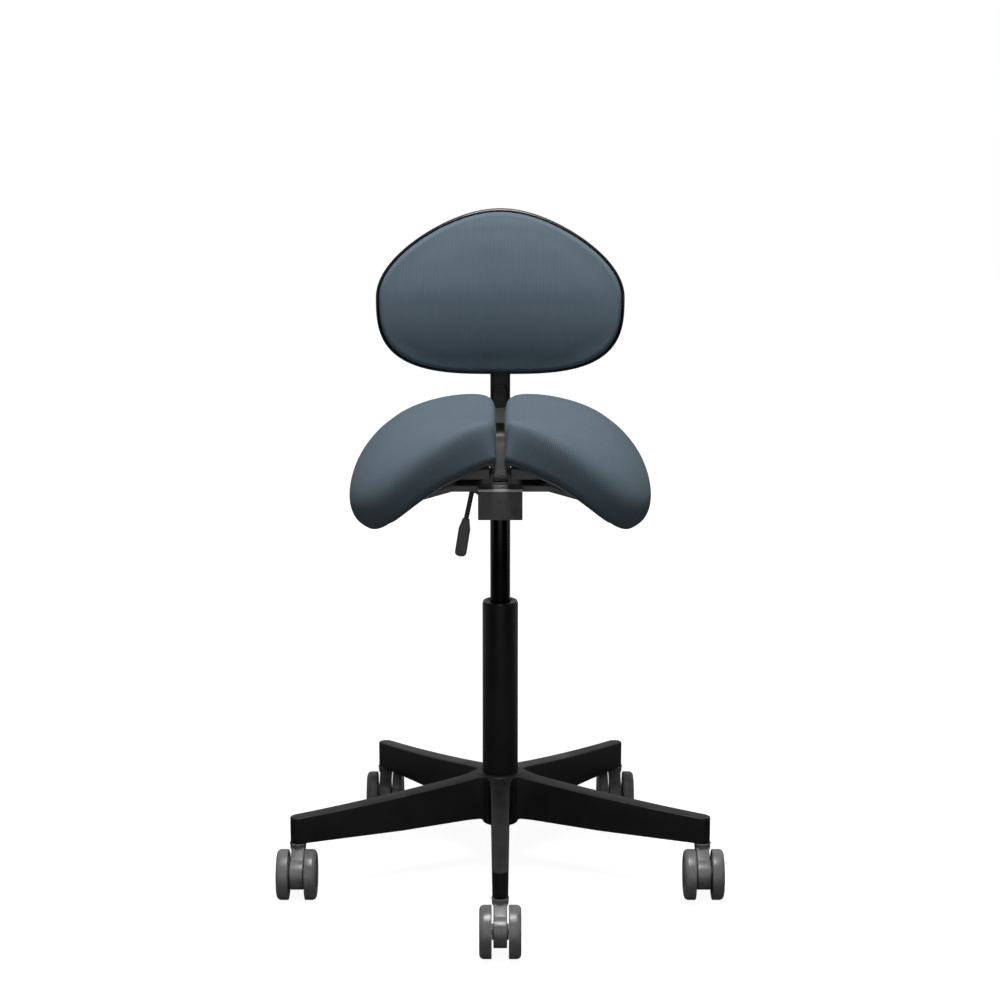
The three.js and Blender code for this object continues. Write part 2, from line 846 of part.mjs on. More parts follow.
function mirroredAcross(points) {
  return points.map((point) => new THREE.Vector3(-point.x, point.y, point.z));
}

function seatBody(topPole, rings, bottomPole, side) {
  if (side > 0) {
    return fromRings(topPole, rings, bottomPole);
  }
  const [top, bottom] = mirroredAcross([topPole, bottomPole]);
  return fromRings(top, rings.map(mirroredAcross), bottom, true);
}

function seatCushion(side) {
  const top = ringSteps.map(([share, edge]) => seatRing(share, edge, 0, true));
  const under = ringSteps.slice(0, -1).map(([share, edge]) => seatRing(share, edge, 0, false));
  const bottom = seatPole(seatThickness(middleShare, middleShare));
  return seatBody(seatPole(-seatCrown), [...top, ...under.reverse()], bottom, side);
}

const shellSteps = ringSteps.slice(0, middleRingShares.length + shellEdgeRingCount);

// Sheet that follows the cushion's underside between two depths below it.
function underSheet(upperDepth, lowerDepth, side) {
  const upper = shellSteps.map(([share, edge]) => seatRing(share, edge, upperDepth, false));
  const lower = shellSteps.map(([share, edge]) => seatRing(share, edge, lowerDepth, false));
  const middle = seatThickness(middleShare, middleShare);
  const rings = [...upper, ...lower.reverse()];
  return seatBody(seatPole(middle + upperDepth), rings, seatPole(middle + lowerDepth), side);
}

for (const [name, side] of [['right', -1], ['left', 1]]) {
  addPart(`seat_cushion_${name}`, seatCushion(side), fabric);
  addPart(`seat_shell_${name}`, underSheet(fit, shellDepth, side), darkPlastic);
}

// Pressed cross plate with a turned-down lip and a wing under each seat half

// Room that the shells need, with their clearance, taken out of what holds them
const shellRoom = [-1, 1].map((side) => underSheet(-bracketHeight, shellDepth + fit, side));

const wingFall = (x) => (x - plateHalfWidth) * Math.tan(radians(wingSlope));

// Outline seen from the front: flat in the middle, with a wing falling away at each side.
function plateOutline(topDrop, bottomDrop, reach) {
  const right = [
    [plateHalfWidth, plateTop - bottomDrop],
    [reach, plateTop - bottomDrop - wingFall(reach)],
    [reach, plateTop - topDrop - wingFall(reach)],
    [plateHalfWidth, plateTop - topDrop],
  ];
  const left = right.map(([x, z]) => [-x, z]).reverse();
  return outline([...right, ...left]);
}

const screwPlaces = [['right', -clampScrewX], ['left', clampScrewX]];

function crossPlate() {
  const body = prismY(plateOutline(0, plateLip, wingReach), plateFront, plateRear);
  const space = prismY(
    plateOutline(plateSheet, plateLip + overrun, wingReach - plateSheet),
    plateFront + plateSheet,
    plateRear - plateSheet,
  );
  const holes = screwPlaces.map(([, x]) => (
    rodZ(screwShankRadius + fit, plateBottom, plateTop + overrun, smallSides).translate(x, clampScrewY, 0)
  ));
  return cut(body, space, ...holes, ...shellRoom);
}
addPart('cross_plate', crossPlate(), greyPaint);

function seatBracket(side, room) {
  const bottom = puckTop + fit;
  const shell = box(
    bracketInnerX, bracketOuterX, -bracketHalfDepth, bracketHalfDepth, bottom, bottom + bracketHeight,
  );
  const space = box(
    bracketInnerX + bracketSheet, bracketOuterX + overrun,
    bracketSheet - bracketHalfDepth, bracketHalfDepth - bracketSheet,
    bottom + bracketSheet, bottom + bracketHeight + overrun,
  );
  const folded = cut(shell, space);
  return cut(side > 0 ? folded : toGeometry(toSolid(folded).mirror([1, 0, 0])), room);
}

[['right', -1], ['left', 1]].forEach(([name, side], i) => {
  const puck = rodZ(puckRadius, puckBottom, puckTop, roundSides).translate(side * puckX, 0, 0);
  addPart(`rubber_puck_${name}`, puck, rubber);
  addPart(`seat_bracket_${name}`, seatBracket(side, shellRoom[i]), greyPaint);
});

// Back bar: flat steel that runs rearward under the seat and bends up behind it

function backBar() {
  const side = new THREE.Shape();
  side.moveTo(barFront, barBottom);
  side.lineTo(barRear - barBend, barBottom);
  side.absarc(barRear - barBend, barBottom + barBend, barBend, -Math.PI / 2, 0, false);
  side.lineTo(barRear, barTop);
  side.lineTo(barRear - barThickness, barTop);
  side.lineTo(barRear - barThickness, barBottom + barBend);
  side.absarc(barRear - barBend, barBottom + barBend, barBend - barThickness, 0, -Math.PI / 2, true);
  side.lineTo(barFront, barUpper);
  const face = new THREE.Shape();
  face.moveTo(-barWidth / 2, barBottom - overrun);
  face.lineTo(barWidth / 2, barBottom - overrun);
  face.absarc(0, barTop - barWidth / 2, barWidth / 2, 0, Math.PI, false);
  return common(
    prismX(side, -barWidth, barWidth, bendSteps),
    prismY(face, barFront - overrun, barRear + overrun, arcEndSteps),
  );
}
addPart('back_bar', backBar(), blackPaint);

// Clamp on the cross plate, with the knob that locks the bar's depth under its rear end

const clampTop = barUpper + fit;

function barClamp() {
  const foot = box(
    -clampFootWidth / 2, clampFootWidth / 2, clampFront, clampFootRear, plateTop + fit, clampTop,
  );
  const sleeve = box(
    -clampWidth / 2, clampWidth / 2, clampFront, clampRear, plateTop + fit, clampTop + clampRoof,
  );
  const boss = box(
    -clampWidth / 2, clampWidth / 2,
    depthKnobY - knobRadius, clampRear,
    plateTop - clampBossDrop, plateTop + clampFloor,
  );
  const slot = box(
    -barWidth / 2 - fit, barWidth / 2 + fit,
    clampFront - overrun, clampRear + overrun,
    barBottom - fit, clampTop,
  );
  const stemBore = rodZ(knobStemRadius + fit, plateTop - clampBossDrop - overrun, barBottom)
    .translate(0, depthKnobY, 0);
  const screwHoles = screwPlaces.flatMap(([, x]) => [
    rodZ(screwShankRadius + fit, plateTop, clampTop + overrun).translate(x, clampScrewY, 0),
    rodZ(screwHeadRadius + fit, clampTop - screwHeadHeight - fit, clampTop + overrun)
      .translate(x, clampScrewY, 0),
  ]);
  return cut(join(foot, sleeve, boss), slot, stemBore, ...screwHoles);
}
addPart('bar_clamp', barClamp(), castGrey);

for (const [name, x] of screwPlaces) {
  const screw = turned([
    [0, plateBottom],
    [screwShankRadius, plateBottom],
    [screwShankRadius, clampTop - screwHeadHeight],
    [screwHeadRadius, clampTop - screwHeadHeight],
    [screwHeadRadius, clampTop - fit],
    [0, clampTop - fit],
  ], smallSides);
  addPart(`clamp_screw_${name}`, screw.translate(x, clampScrewY, 0), steel);
}

// Hand knob standing on z = 0 with its stem pointing up, to a given stem length
function handKnob(stemLength) {
  const points = [];
  const steps = knobLobes * knobLobeSteps;
  for (let i = 0; i < steps; i += 1) {
    const angle = (i / steps) * fullTurn;
    const radius = knobRadius - (knobLobeDepth * (1 - Math.cos(knobLobes * angle))) / 2;
    points.push([radius * Math.cos(angle), radius * Math.sin(angle)]);
  }
  const head = prismZ(outline(points), 0, knobLength);
  return join(head, rodZ(knobStemRadius, knobLength - overrun, knobLength + stemLength));
}

const depthKnobTop = plateTop - clampBossDrop - fit;
const depthKnob = handKnob(barBottom - fit - depthKnobTop);
addPart('depth_knob', depthKnob.translate(0, depthKnobY, depthKnobTop - knobLength), darkPlastic);

// Channel that slides on the bar's upright, its keeper, tilt pin and height knob

const webFront = barRear + fit;
const channelRear = webFront + channelWall;
const channelFront = channelRear - channelDepth;
const pivotY = (channelFront + channelRear) / 2;

function backChannel() {
  const half = channelWidth / 2;
  const body = box(-half, half, channelFront, channelRear, channelBottom, channelTop);
  const space = box(
    channelWall - half, half - channelWall,
    channelFront - overrun, webFront,
    channelBottom - overrun, channelTop + overrun,
  );
  const pinHole = rodX(pivotPinRadius + fit, -half - overrun, half + overrun, pivotY, pivotLevel);
  const stemHole = rodY(knobStemRadius + fit, webFront - overrun, channelRear + overrun, 0, keeperLevel);
  return cut(body, space, pinHole, stemHole);
}
addPart('back_channel', backChannel(), blackPaint);

function channelKeeper() {
  const half = channelWidth / 2;
  const inner = half - channelWall - fit;
  const bottom = keeperLevel - keeperHeight / 2;
  const plateRearY = channelFront - fit;
  const plate = box(-half, half, plateRearY - channelWall, plateRearY, bottom, bottom + keeperHeight);
  const pad = box(
    -inner, inner, plateRearY - channelWall, barRear - barThickness - fit, bottom, bottom + keeperHeight,
  );
  return join(plate, pad);
}
addPart('channel_keeper', channelKeeper(), darkPlastic);

const earInner = channelWidth / 2 + fit;
const earOuter = earInner + earWall;

function tiltPin() {
  const end = earOuter + fit;
  const shaft = rodX(pivotPinRadius, -end - overrun, end + overrun, pivotY, pivotLevel);
  const heads = [end, -end - pivotHeadLength].map((x) => (
    rodX(pivotHeadRadius, x, x + pivotHeadLength, pivotY, pivotLevel)
  ));
  return join(shaft, ...heads);
}
addPart('tilt_pin', tiltPin(), steel);

const heightKnob = handKnob(channelRear - barRear);
addPart('height_knob', heightKnob.rotateX(Math.PI / 2).translate(
  0,
  channelRear + fit + knobLength,
  keeperLevel,
), darkPlastic);

// Backrest: an egg-shaped pad in a thin moulded shell, both dished round the sitter's back

const floorDepth = backPadThickness + fit;
const shellRear = floorDepth + backShellWall;
const bracketRear = channelFront - backStandoff;
const backFace = bracketRear - backBracketWall - shellRear;

// Point at an angle on a half ellipse that is drawn in toward its top
function shoulderPoint(angle) {
  const [toSide, toEnd] = [Math.cos(angle), Math.sin(angle)];
  return [toSide * (1 - backShoulderShare * toEnd * toEnd), toEnd];
}

// One ring of a dished body: inset from the outline, share of its size, depth behind the face.
function dishRing(inset, share, depth) {
  const points = [];
  for (let side = 0; side < backSides; side += 1) {
    const angle = (side / backSides) * fullTurn;
    const isUpper = Math.sin(angle) >= 0;
    const [toSide, toEnd] = isUpper ? shoulderPoint(angle) : squarePoint(angle, backLowerPower);
    const height = (isUpper ? backUpperHeight : backLowerHeight) - inset;
    const x = (backHalfWidth - inset) * share * toSide;
    const rise = height * share * toEnd;
    points.push(dishPoint(x, rise, depth));
  }
  return points;
}

function dishPoint(x, rise, depth) {
  const towardSitter = (x * x) / (2 * backSideRadius);
  const awayFromSitter = (rise * rise) / (2 * backLumbarRadius);
  const y = backFace + depth - towardSitter + awayFromSitter;
  return new THREE.Vector3(x, y, backWidestLevel + rise);
}

const padInset = backRimWidth + fit;

function backCushion() {
  const crown = (share) => backCrown * share * share;
  const rounds = backRoundShares.map((share) => {
    const angle = (share * Math.PI) / 2;
    const inset = padInset + backPadRound * (1 - Math.sin(angle));
    return dishRing(inset, 1, backCrown + backPadRound * (1 - Math.cos(angle)));
  });
  const front = backRingShares.map((share) => dishRing(padInset, share, crown(share)));
  const rear = [...backRingShares].reverse().map((share) => dishRing(padInset, share, backPadThickness));
  const edge = dishRing(padInset, 1, backPadThickness);
  const rings = [...front, ...rounds, edge, ...rear];
  return fromRings(dishPoint(0, 0, 0), rings, dishPoint(0, 0, backPadThickness));
}

function backShell() {
  const floor = backRingShares.map((share) => dishRing(padInset, share, floorDepth));
  const rimDepth = floorDepth - backRimHeight;
  const rim = [
    dishRing(backRimWidth, 1, floorDepth),
    dishRing(backRimWidth, 1, rimDepth),
    dishRing(backRimRound, 1, rimDepth),
    dishRing(0, 1, rimDepth + backRimRound),
    dishRing(0, 1, floorDepth),
    dishRing(backShellWall, 1, shellRear),
  ];
  const rear = [...backRingShares].reverse().map((share) => dishRing(padInset, share, shellRear));
  return fromRings(dishPoint(0, 0, floorDepth), [...floor, ...rim, ...rear], dishPoint(0, 0, shellRear));
}

function backBracket() {
  const room = fromRings(
    dishPoint(0, 0, 0),
    [
      ...backRingShares.map((share) => dishRing(padInset, share, 0)),
      ...[...backRingShares].reverse().map((share) => dishRing(padInset, share, shellRear + fit)),
    ],
    dishPoint(0, 0, shellRear + fit),
  );
  const plate = box(
    -backBracketWidth / 2, backBracketWidth / 2,
    backFace + floorDepth, bracketRear,
    pivotLevel - backBracketHeight / 2, pivotLevel + backBracketHeight / 2,
  );
  const ears = [-earOuter, earInner].map((x) => {
    const shape = new THREE.Shape();
    shape.moveTo(bracketRear - overrun, pivotLevel - earRadius * 2);
    shape.lineTo(pivotY, pivotLevel - earRadius);
    shape.absarc(pivotY, pivotLevel, earRadius, -Math.PI / 2, Math.PI / 2, false);
    shape.lineTo(bracketRear - overrun, pivotLevel + earRadius * 2);
    return prismX(shape, x, x + earWall, bendSteps);
  });
  const hole = rodX(pivotPinRadius + fit, -earOuter - overrun, earOuter + overrun, pivotY, pivotLevel);
  return cut(join(plate, ...ears), room, hole);
}

addPart('backrest_cushion', backCushion(), fabric);
addPart('backrest_shell', backShell(), glossPlastic);
addPart('backrest_bracket', backBracket(), blackPaint);

// The origin is the middle of the footprint, on the floor.
const footprintFront = -(legReach + casterTrail + wheelRadius);
const footprintRear = channelRear + fit + knobLength;
stool.position.y = -(footprintFront + footprintRear) / 2;

export default stool;
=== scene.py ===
# %% [markdown]
# A saddle stool, dressed for its picture.
#
# The engineering model gives every piece of the stool its size and its place. This lesson
# loads that model as a fixed frame, makes finer surfaces for the pieces that show, and gives
# each one a finish worked out from patterns, not from pictures.
# Everything is in metres, with +Z up, -Y toward the sitter's knees and +X toward the sitter's left.

# %% Load the frame
import json
import math

import bmesh
import bpy
import numpy as np
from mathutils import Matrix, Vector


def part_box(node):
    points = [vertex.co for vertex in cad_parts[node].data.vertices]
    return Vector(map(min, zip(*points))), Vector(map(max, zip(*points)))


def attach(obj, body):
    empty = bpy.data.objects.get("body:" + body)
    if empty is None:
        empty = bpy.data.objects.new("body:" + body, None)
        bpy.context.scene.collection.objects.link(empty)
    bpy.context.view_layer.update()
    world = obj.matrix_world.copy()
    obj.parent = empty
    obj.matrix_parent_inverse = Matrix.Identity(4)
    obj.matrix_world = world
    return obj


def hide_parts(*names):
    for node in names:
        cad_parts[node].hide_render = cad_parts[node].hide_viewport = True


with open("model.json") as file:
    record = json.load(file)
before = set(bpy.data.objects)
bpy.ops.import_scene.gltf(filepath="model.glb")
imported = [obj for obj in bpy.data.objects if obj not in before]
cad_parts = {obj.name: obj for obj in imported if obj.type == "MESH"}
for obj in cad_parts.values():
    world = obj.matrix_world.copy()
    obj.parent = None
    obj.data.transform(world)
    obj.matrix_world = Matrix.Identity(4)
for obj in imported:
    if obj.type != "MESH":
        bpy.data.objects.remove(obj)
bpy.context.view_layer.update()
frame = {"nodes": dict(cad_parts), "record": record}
scene = bpy.context.scene
nodes = frame["nodes"]
column_low, column_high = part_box("column_tube")
AXIS_Y = (column_low.y + column_high.y) / 2

# %% [markdown]
# The camera stands where the photograph was taken from: higher than the backrest, three and a
# quarter metres in front, looking down by about twelve degrees. It could be framed by eye, but
# it was solved from the casters and the column, so that each edge of the model falls on the
# same edge of the photograph.

# %% Camera
camera_data = bpy.data.cameras.new("photo_camera")
camera_data.lens = 88.16
camera_data.sensor_width = 36
camera_data.shift_x = -0.00025
camera = bpy.data.objects.new("photo_camera", camera_data)
camera.location = (0, -3.26585, 1.2746)
camera.rotation_euler = (math.radians(77.45), 0, 0)
scene.collection.objects.link(camera)
scene.camera = camera
scene.view_settings.view_transform = "Standard"
print("camera lens", camera_data.lens, "mm")

# %% [markdown]
# Shader nodes are small sums on colours and numbers. Adding them by hand takes four lines
# each, so a short helper adds one node, fills its inputs in order, and hands back its output.
# A link can be given wherever a number can.

# %% Node helpers
def wire(tree, socket, value):
    """Link a socket to another socket, or set it to a plain value."""
    if isinstance(value, bpy.types.NodeSocket):
        tree.links.new(value, socket)
    elif value is not None:
        socket.default_value = value


def put(tree, kind, *values, out=0, **settings):
    """Add a shader node with its inputs in order, and return one of its outputs."""
    made = tree.nodes.new("ShaderNode" + kind)
    for key, value in settings.items():
        setattr(made, key, value)
    for socket, value in zip([s for s in made.inputs if s.enabled], values):
        wire(tree, socket, value)
    return [s for s in made.outputs if s.enabled][out]


def maths(tree, operation, *values):
    """One sum, such as MULTIPLY, on one, two or three values."""
    return put(tree, "Math", *values, operation=operation)


def blend_colour(tree, amount, first, second):
    """The first colour where amount is 0, the second where it is 1."""
    return put(tree, "Mix", amount, first, second, data_type="RGBA")


def ramp(tree, value, low, high, bottom=0.0, top=1.0):
    """A smooth step: bottom under low, top over high."""
    return put(tree, "MapRange", value, low, high, bottom, top, interpolation_type="SMOOTHSTEP")


def grey(level):
    return (level, level, level, 1)


# %% [markdown]
# A studio floor is a pale sheet that the stool stands on. It could be lit until it burns out
# to white, but that floods the stool with light from below. Here the floor glows white to the
# camera, keeps the shadow that falls on it, and throws only a little light back at the stool.
# Glossy faces see the same white behind the stool, but a dark studio in front of it, which is
# how a photographer keeps black paint black and still gets a bright line along its edges.

# %% Floor and surroundings
SEEN_LEVEL, BOUNCE_LEVEL = 0.5, 0.12
NEAR_GLOW, GLOW_STARTS, GLOW_FULL = 0.93, 0.6, 1.8
REAR_GLOW, REAR_STARTS, REAR_FULL = 0.4, 0.2, 1.2
AIR_STARTS, AIR_FULL, AIR_DARK = 0.1, 0.6, 0.02
FLOOR_SIZE = 30


def floor_finish():
    """Diffuse floor. Its glow rises from NEAR_GLOW to 1 away from the stool for the camera,
    and from 0 to REAR_GLOW behind the stool for reflections. Distances are in metres."""
    material = bpy.data.materials.new("studio_floor")
    material.use_nodes = True
    tree = material.node_tree
    tree.nodes.clear()
    seen, mirrored = put(tree, "LightPath", out=0), put(tree, "LightPath", out=3)
    where = put(tree, "TexCoord", out=3)
    colour = blend_colour(tree, seen, grey(BOUNCE_LEVEL), grey(SEEN_LEVEL))
    diffuse = put(tree, "BsdfDiffuse", colour)
    distance = put(tree, "VectorMath", where, operation="LENGTH", out=0)
    away = ramp(tree, distance, GLOW_STARTS, GLOW_FULL, NEAR_GLOW, 1.0)
    back = put(tree, "SeparateXYZ", where, out=1)
    behind = ramp(tree, back, REAR_STARTS, REAR_FULL, 0.0, REAR_GLOW)
    glow = maths(tree, "MULTIPLY_ADD", mirrored, behind, maths(tree, "MULTIPLY", seen, away))
    light = put(tree, "Emission", grey(1), glow)
    out = tree.nodes.new("ShaderNodeOutputMaterial")
    tree.links.new(put(tree, "AddShader", diffuse, light), out.inputs["Surface"])
    return material


floor_mesh = bpy.data.meshes.new("studio_floor")
half = FLOOR_SIZE / 2
floor_mesh.from_pydata(
    [(-half, -half, 0), (half, -half, 0), (half, half, 0), (-half, half, 0)], [], [(0, 1, 2, 3)])
floor = bpy.data.objects.new("studio_floor", floor_mesh)
scene.collection.objects.link(floor)
floor_mesh.materials.append(floor_finish())

world = bpy.data.worlds.new("studio_air")
world.use_nodes = True
scene.world = world
air = world.node_tree
air.nodes.clear()
air_seen, air_mirrored = put(air, "LightPath", out=0), put(air, "LightPath", out=3)
direction = put(air, "SeparateXYZ", put(air, "TexCoord", out=0), out=1)
air_behind = ramp(air, direction, AIR_STARTS, AIR_FULL, 0.0, REAR_GLOW)
air_dark = maths(air, "MULTIPLY_ADD", air_mirrored, air_behind, AIR_DARK)
air_level = put(air, "Mix", air_seen, air_dark, 1.0, data_type="FLOAT")
air_out = air.nodes.new("ShaderNodeOutputWorld")
air.links.new(put(air, "Background", grey(1), air_level), air_out.inputs["Surface"])
print("floor", FLOOR_SIZE, "m wide")

# %% [markdown]
# The light in the photograph comes from above: the tops are pale, and the undersides fall to
# near black. Softboxes are lamps with soft edges. One hangs over the seat and carries most of
# the light, with a weaker one in front of it. Two wide ones fill from the front, high and low,
# and two tall strips at the sides draw the upright lines on the tubes. Their strengths were
# found by rendering each lamp alone, solving for the sum that comes nearest to the tones in
# the photograph, and then trying small changes.

# %% Softboxes
def softbox(name, place, aim, width, height, watts):
    """A rectangular lamp at a place, turned to face the stool's axis at the height aim."""
    data = bpy.data.lights.new(name, "AREA")
    data.shape = "RECTANGLE"
    data.size, data.size_y = width, height
    data.energy = watts
    lamp = bpy.data.objects.new(name, data)
    place, target = np.array(place), np.array((0, 0, aim))
    z = (place - target) / np.linalg.norm(place - target)
    x = np.cross((0, 1, 0) if abs(z[2]) > 0.99 else (0, 0, 1), z)
    x /= np.linalg.norm(x)
    matrix = np.eye(4)
    matrix[:3, 0], matrix[:3, 1], matrix[:3, 2], matrix[:3, 3] = x, np.cross(z, x), z, place
    lamp.matrix_world = matrix.T.tolist()
    scene.collection.objects.link(lamp)
    return lamp


softbox("overhead_box", (0, -0.4, 2.6), 0.6, 0.6, 0.9, 37)
softbox("high_front_box", (0, -1.0, 2.6), 0.6, 0.6, 0.8, 9)
softbox("front_box", (0, -3.0, 1.7), 0.6, 2.4, 1.0, 6)
softbox("low_front_box", (0, -3.0, 0.5), 0.3, 2.4, 0.6, 4.5)
softbox("left_strip", (-2.0, 0.0, 1.0), 0.55, 0.4, 1.8, 2)
softbox("right_strip", (2.0, 0.0, 1.0), 0.55, 0.4, 1.8, 2)

# %% [markdown]
# Two patterns serve several finishes. Powder coat, moulded plastic and cast metal all have a
# fine grain that shows as tiny bumps and as cloudy changes of gloss. It could be one noise,
# but real grain has two sizes, so a fine noise and a broad one are mixed.

# %% Grain pattern
def new_group(name, inputs, outputs):
    """An empty node group: one vector and some numbers in, numbers out. Returns the group, its
    input node and its output node."""
    group = bpy.data.node_groups.new(name, "ShaderNodeTree")
    group.interface.new_socket(inputs[0], in_out="INPUT", socket_type="NodeSocketVector")
    for title, value in inputs[1:]:
        socket = group.interface.new_socket(title, in_out="INPUT", socket_type="NodeSocketFloat")
        socket.default_value = value
    for title in outputs:
        group.interface.new_socket(title, in_out="OUTPUT", socket_type="NodeSocketFloat")
    return group, group.nodes.new("NodeGroupInput"), group.nodes.new("NodeGroupOutput")


def noise(tree, vector, scale, detail=2.0, roughness=0.5, distortion=0.0):
    """Soft noise around 0.5."""
    return put(tree, "TexNoise", vector, scale, detail, roughness, 2.0, distortion)


grain, g_in, g_out = new_group(
    "grain", ["Vector", ("Scale", 900.0), ("Cloud", 14.0)], ["Height", "Cloud"])
fine = noise(grain, g_in.outputs["Vector"], g_in.outputs["Scale"], 3.0, 0.6)
broad = noise(grain, g_in.outputs["Vector"], g_in.outputs["Cloud"], 4.0, 0.55, 0.3)
wire(grain, g_out.inputs["Height"], ramp(grain, fine, 0.3, 0.7))
wire(grain, g_out.inputs["Cloud"], ramp(grain, broad, 0.3, 0.7))
print("group", grain.name, len(grain.nodes), "nodes")

# %% [markdown]
# Paint and plastics wear first where hands, shoes and boxes rub: along the outer edges. The
# Bevel node gives the direction a surface would face if its edges were rounded. Where that
# differs from the true direction there is an edge, and a noise breaks the line up, because
# wear comes in nicks. On the lift's bush the same mask, turned up and pale, is a painted
# highlight along its rim.

# %% Edge wear and painted highlight pattern
edge_wear_and_highlight, e_in, e_out = new_group(
    "edge_wear_and_highlight", ["Vector", ("Width", 0.001), ("Amount", 1.0)], ["Mask"])
eased_normal = put(edge_wear_and_highlight, "Bevel", e_in.outputs["Width"], samples=4)
true_normal = edge_wear_and_highlight.nodes.new("ShaderNodeNewGeometry").outputs["Normal"]
agree = put(edge_wear_and_highlight, "VectorMath", eased_normal, true_normal, operation="DOT_PRODUCT", out=0)
turned_away = ramp(edge_wear_and_highlight, maths(edge_wear_and_highlight, "SUBTRACT", 1.0, agree), 0.03, 0.25)
nicks = ramp(edge_wear_and_highlight, noise(edge_wear_and_highlight, e_in.outputs["Vector"], 60.0, 5.0, 0.7), 0.42, 0.66)
worn = maths(edge_wear_and_highlight, "MULTIPLY", turned_away, nicks)
wire(edge_wear_and_highlight, e_out.inputs["Mask"], maths(edge_wear_and_highlight, "MULTIPLY", worn, e_in.outputs["Amount"]))

# %% [markdown]
# Dust settles on what faces up. The mask is the upward part of the surface direction, broken
# up by a broad noise. It only lifts the colour a little and dulls the gloss.

# %% Dust pattern
dust, d_in, d_out = new_group("dust", ["Vector", ("Amount", 0.5)], ["Mask"])
facing = dust.nodes.new("ShaderNodeNewGeometry").outputs["Normal"]
upward = put(dust, "SeparateXYZ", facing, out=2)
specks = ramp(dust, noise(dust, d_in.outputs["Vector"], 38.0, 6.0, 0.75), 0.35, 0.75)
settled = maths(dust, "MULTIPLY", ramp(dust, upward, 0.45, 1.0), specks)
wire(dust, d_out.inputs["Mask"], maths(dust, "MULTIPLY", settled, d_in.outputs["Amount"]))

# %% [markdown]
# The cover is a close woven cloth. Each crossing of a warp and a weft thread is a small bump,
# and neighbouring crossings take turns, so the bumps stand in slanting rows. The cloth reads a
# map that was laid along the surface, so the rows bend round the pad with it. Its cloud mixes
# streaks along the warp, where some threads are thicker, with broad worn patches.

# %% Weave pattern
THREAD_PITCH = 0.002
weave, w_in, w_out = new_group(
    "weave", ["Cloth", ("Pitch", THREAD_PITCH)], ["Height", "Tone", "Cloud"])
across_cloth = put(weave, "SeparateXYZ", w_in.outputs["Cloth"], out=0)
along_cloth = put(weave, "SeparateXYZ", w_in.outputs["Cloth"], out=1)


def thread_wave(coordinate):
    """A sine that turns over once per thread."""
    turns = maths(weave, "DIVIDE", coordinate, w_in.outputs["Pitch"])
    return maths(weave, "SINE", maths(weave, "MULTIPLY", turns, math.pi))


warp, weft = thread_wave(across_cloth), thread_wave(along_cloth)
over_under = ramp(weave, maths(weave, "MULTIPLY", warp, weft), -0.35, 0.35)
round_warp = maths(weave, "ABSOLUTE", warp)
round_weft = maths(weave, "ABSOLUTE", weft)
crossing = put(weave, "Mix", over_under, round_weft, round_warp, data_type="FLOAT")
fuzz = noise(weave, w_in.outputs["Cloth"], 2600.0, 2.0, 0.6)
height = maths(weave, "MULTIPLY_ADD", fuzz, 0.35, maths(weave, "MULTIPLY", crossing, 0.65))
wire(weave, w_out.inputs["Height"], height)
wire(weave, w_out.inputs["Tone"], maths(weave, "MULTIPLY", crossing, over_under))
drawn_out = put(weave, "Mapping", w_in.outputs["Cloth"], None, None, (1.0, 0.06, 1.0))
streaks = ramp(weave, noise(weave, drawn_out, 420.0, 2.0, 0.6), 0.3, 0.7)
worn_patches = ramp(weave, noise(weave, w_in.outputs["Cloth"], 9.0, 3.0, 0.6), 0.3, 0.7)
wire(weave, w_out.inputs["Cloud"], put(weave, "Mix", 0.5, streaks, worn_patches, data_type="FLOAT"))
print("groups", [g.name for g in bpy.data.node_groups])

# %% [markdown]
# A finish is one Principled shader with patterns feeding its colour, gloss and bump. Paints
# and plastics differ only in their numbers, so one recipe makes them all: a base colour with
# slow clouds, paler worn edges, a little dust, and a grain that breaks up the reflections.
# On the lift's bush the paler edges are a painted highlight along its rim.

# %% Recipe for paints and plastics
finishes = {}


def start_finish(name, **constants):
    """A new material with its Principled shader. Constants go straight on the sockets."""
    material = bpy.data.materials.new(name)
    material.use_nodes = True
    tree = material.node_tree
    tree.nodes.clear()
    shader = tree.nodes.new("ShaderNodeBsdfPrincipled")
    out = tree.nodes.new("ShaderNodeOutputMaterial")
    tree.links.new(shader.outputs["BSDF"], out.inputs["Surface"])
    for title, value in constants.items():
        shader.inputs[title.replace("_", " ")].default_value = value
    finishes[name] = material
    return tree, shader


def use(tree, group, **inputs):
    """Place a pattern group in a material."""
    made = tree.nodes.new("ShaderNodeGroup")
    made.node_tree = group
    for title, value in inputs.items():
        wire(tree, made.inputs[title], value)
    return made


def bump(tree, shader, height, strength, distance):
    wire(tree, shader.inputs["Normal"], put(tree, "Bump", strength, distance, None, height))


WEAR_WIDTH, CLOUD_SCALE, CLOUD_DEPTH = 0.0012, 14.0, 0.18
DUST_COLOUR, DUST_DULLS = (0.12, 0.12, 0.122, 1), 0.3


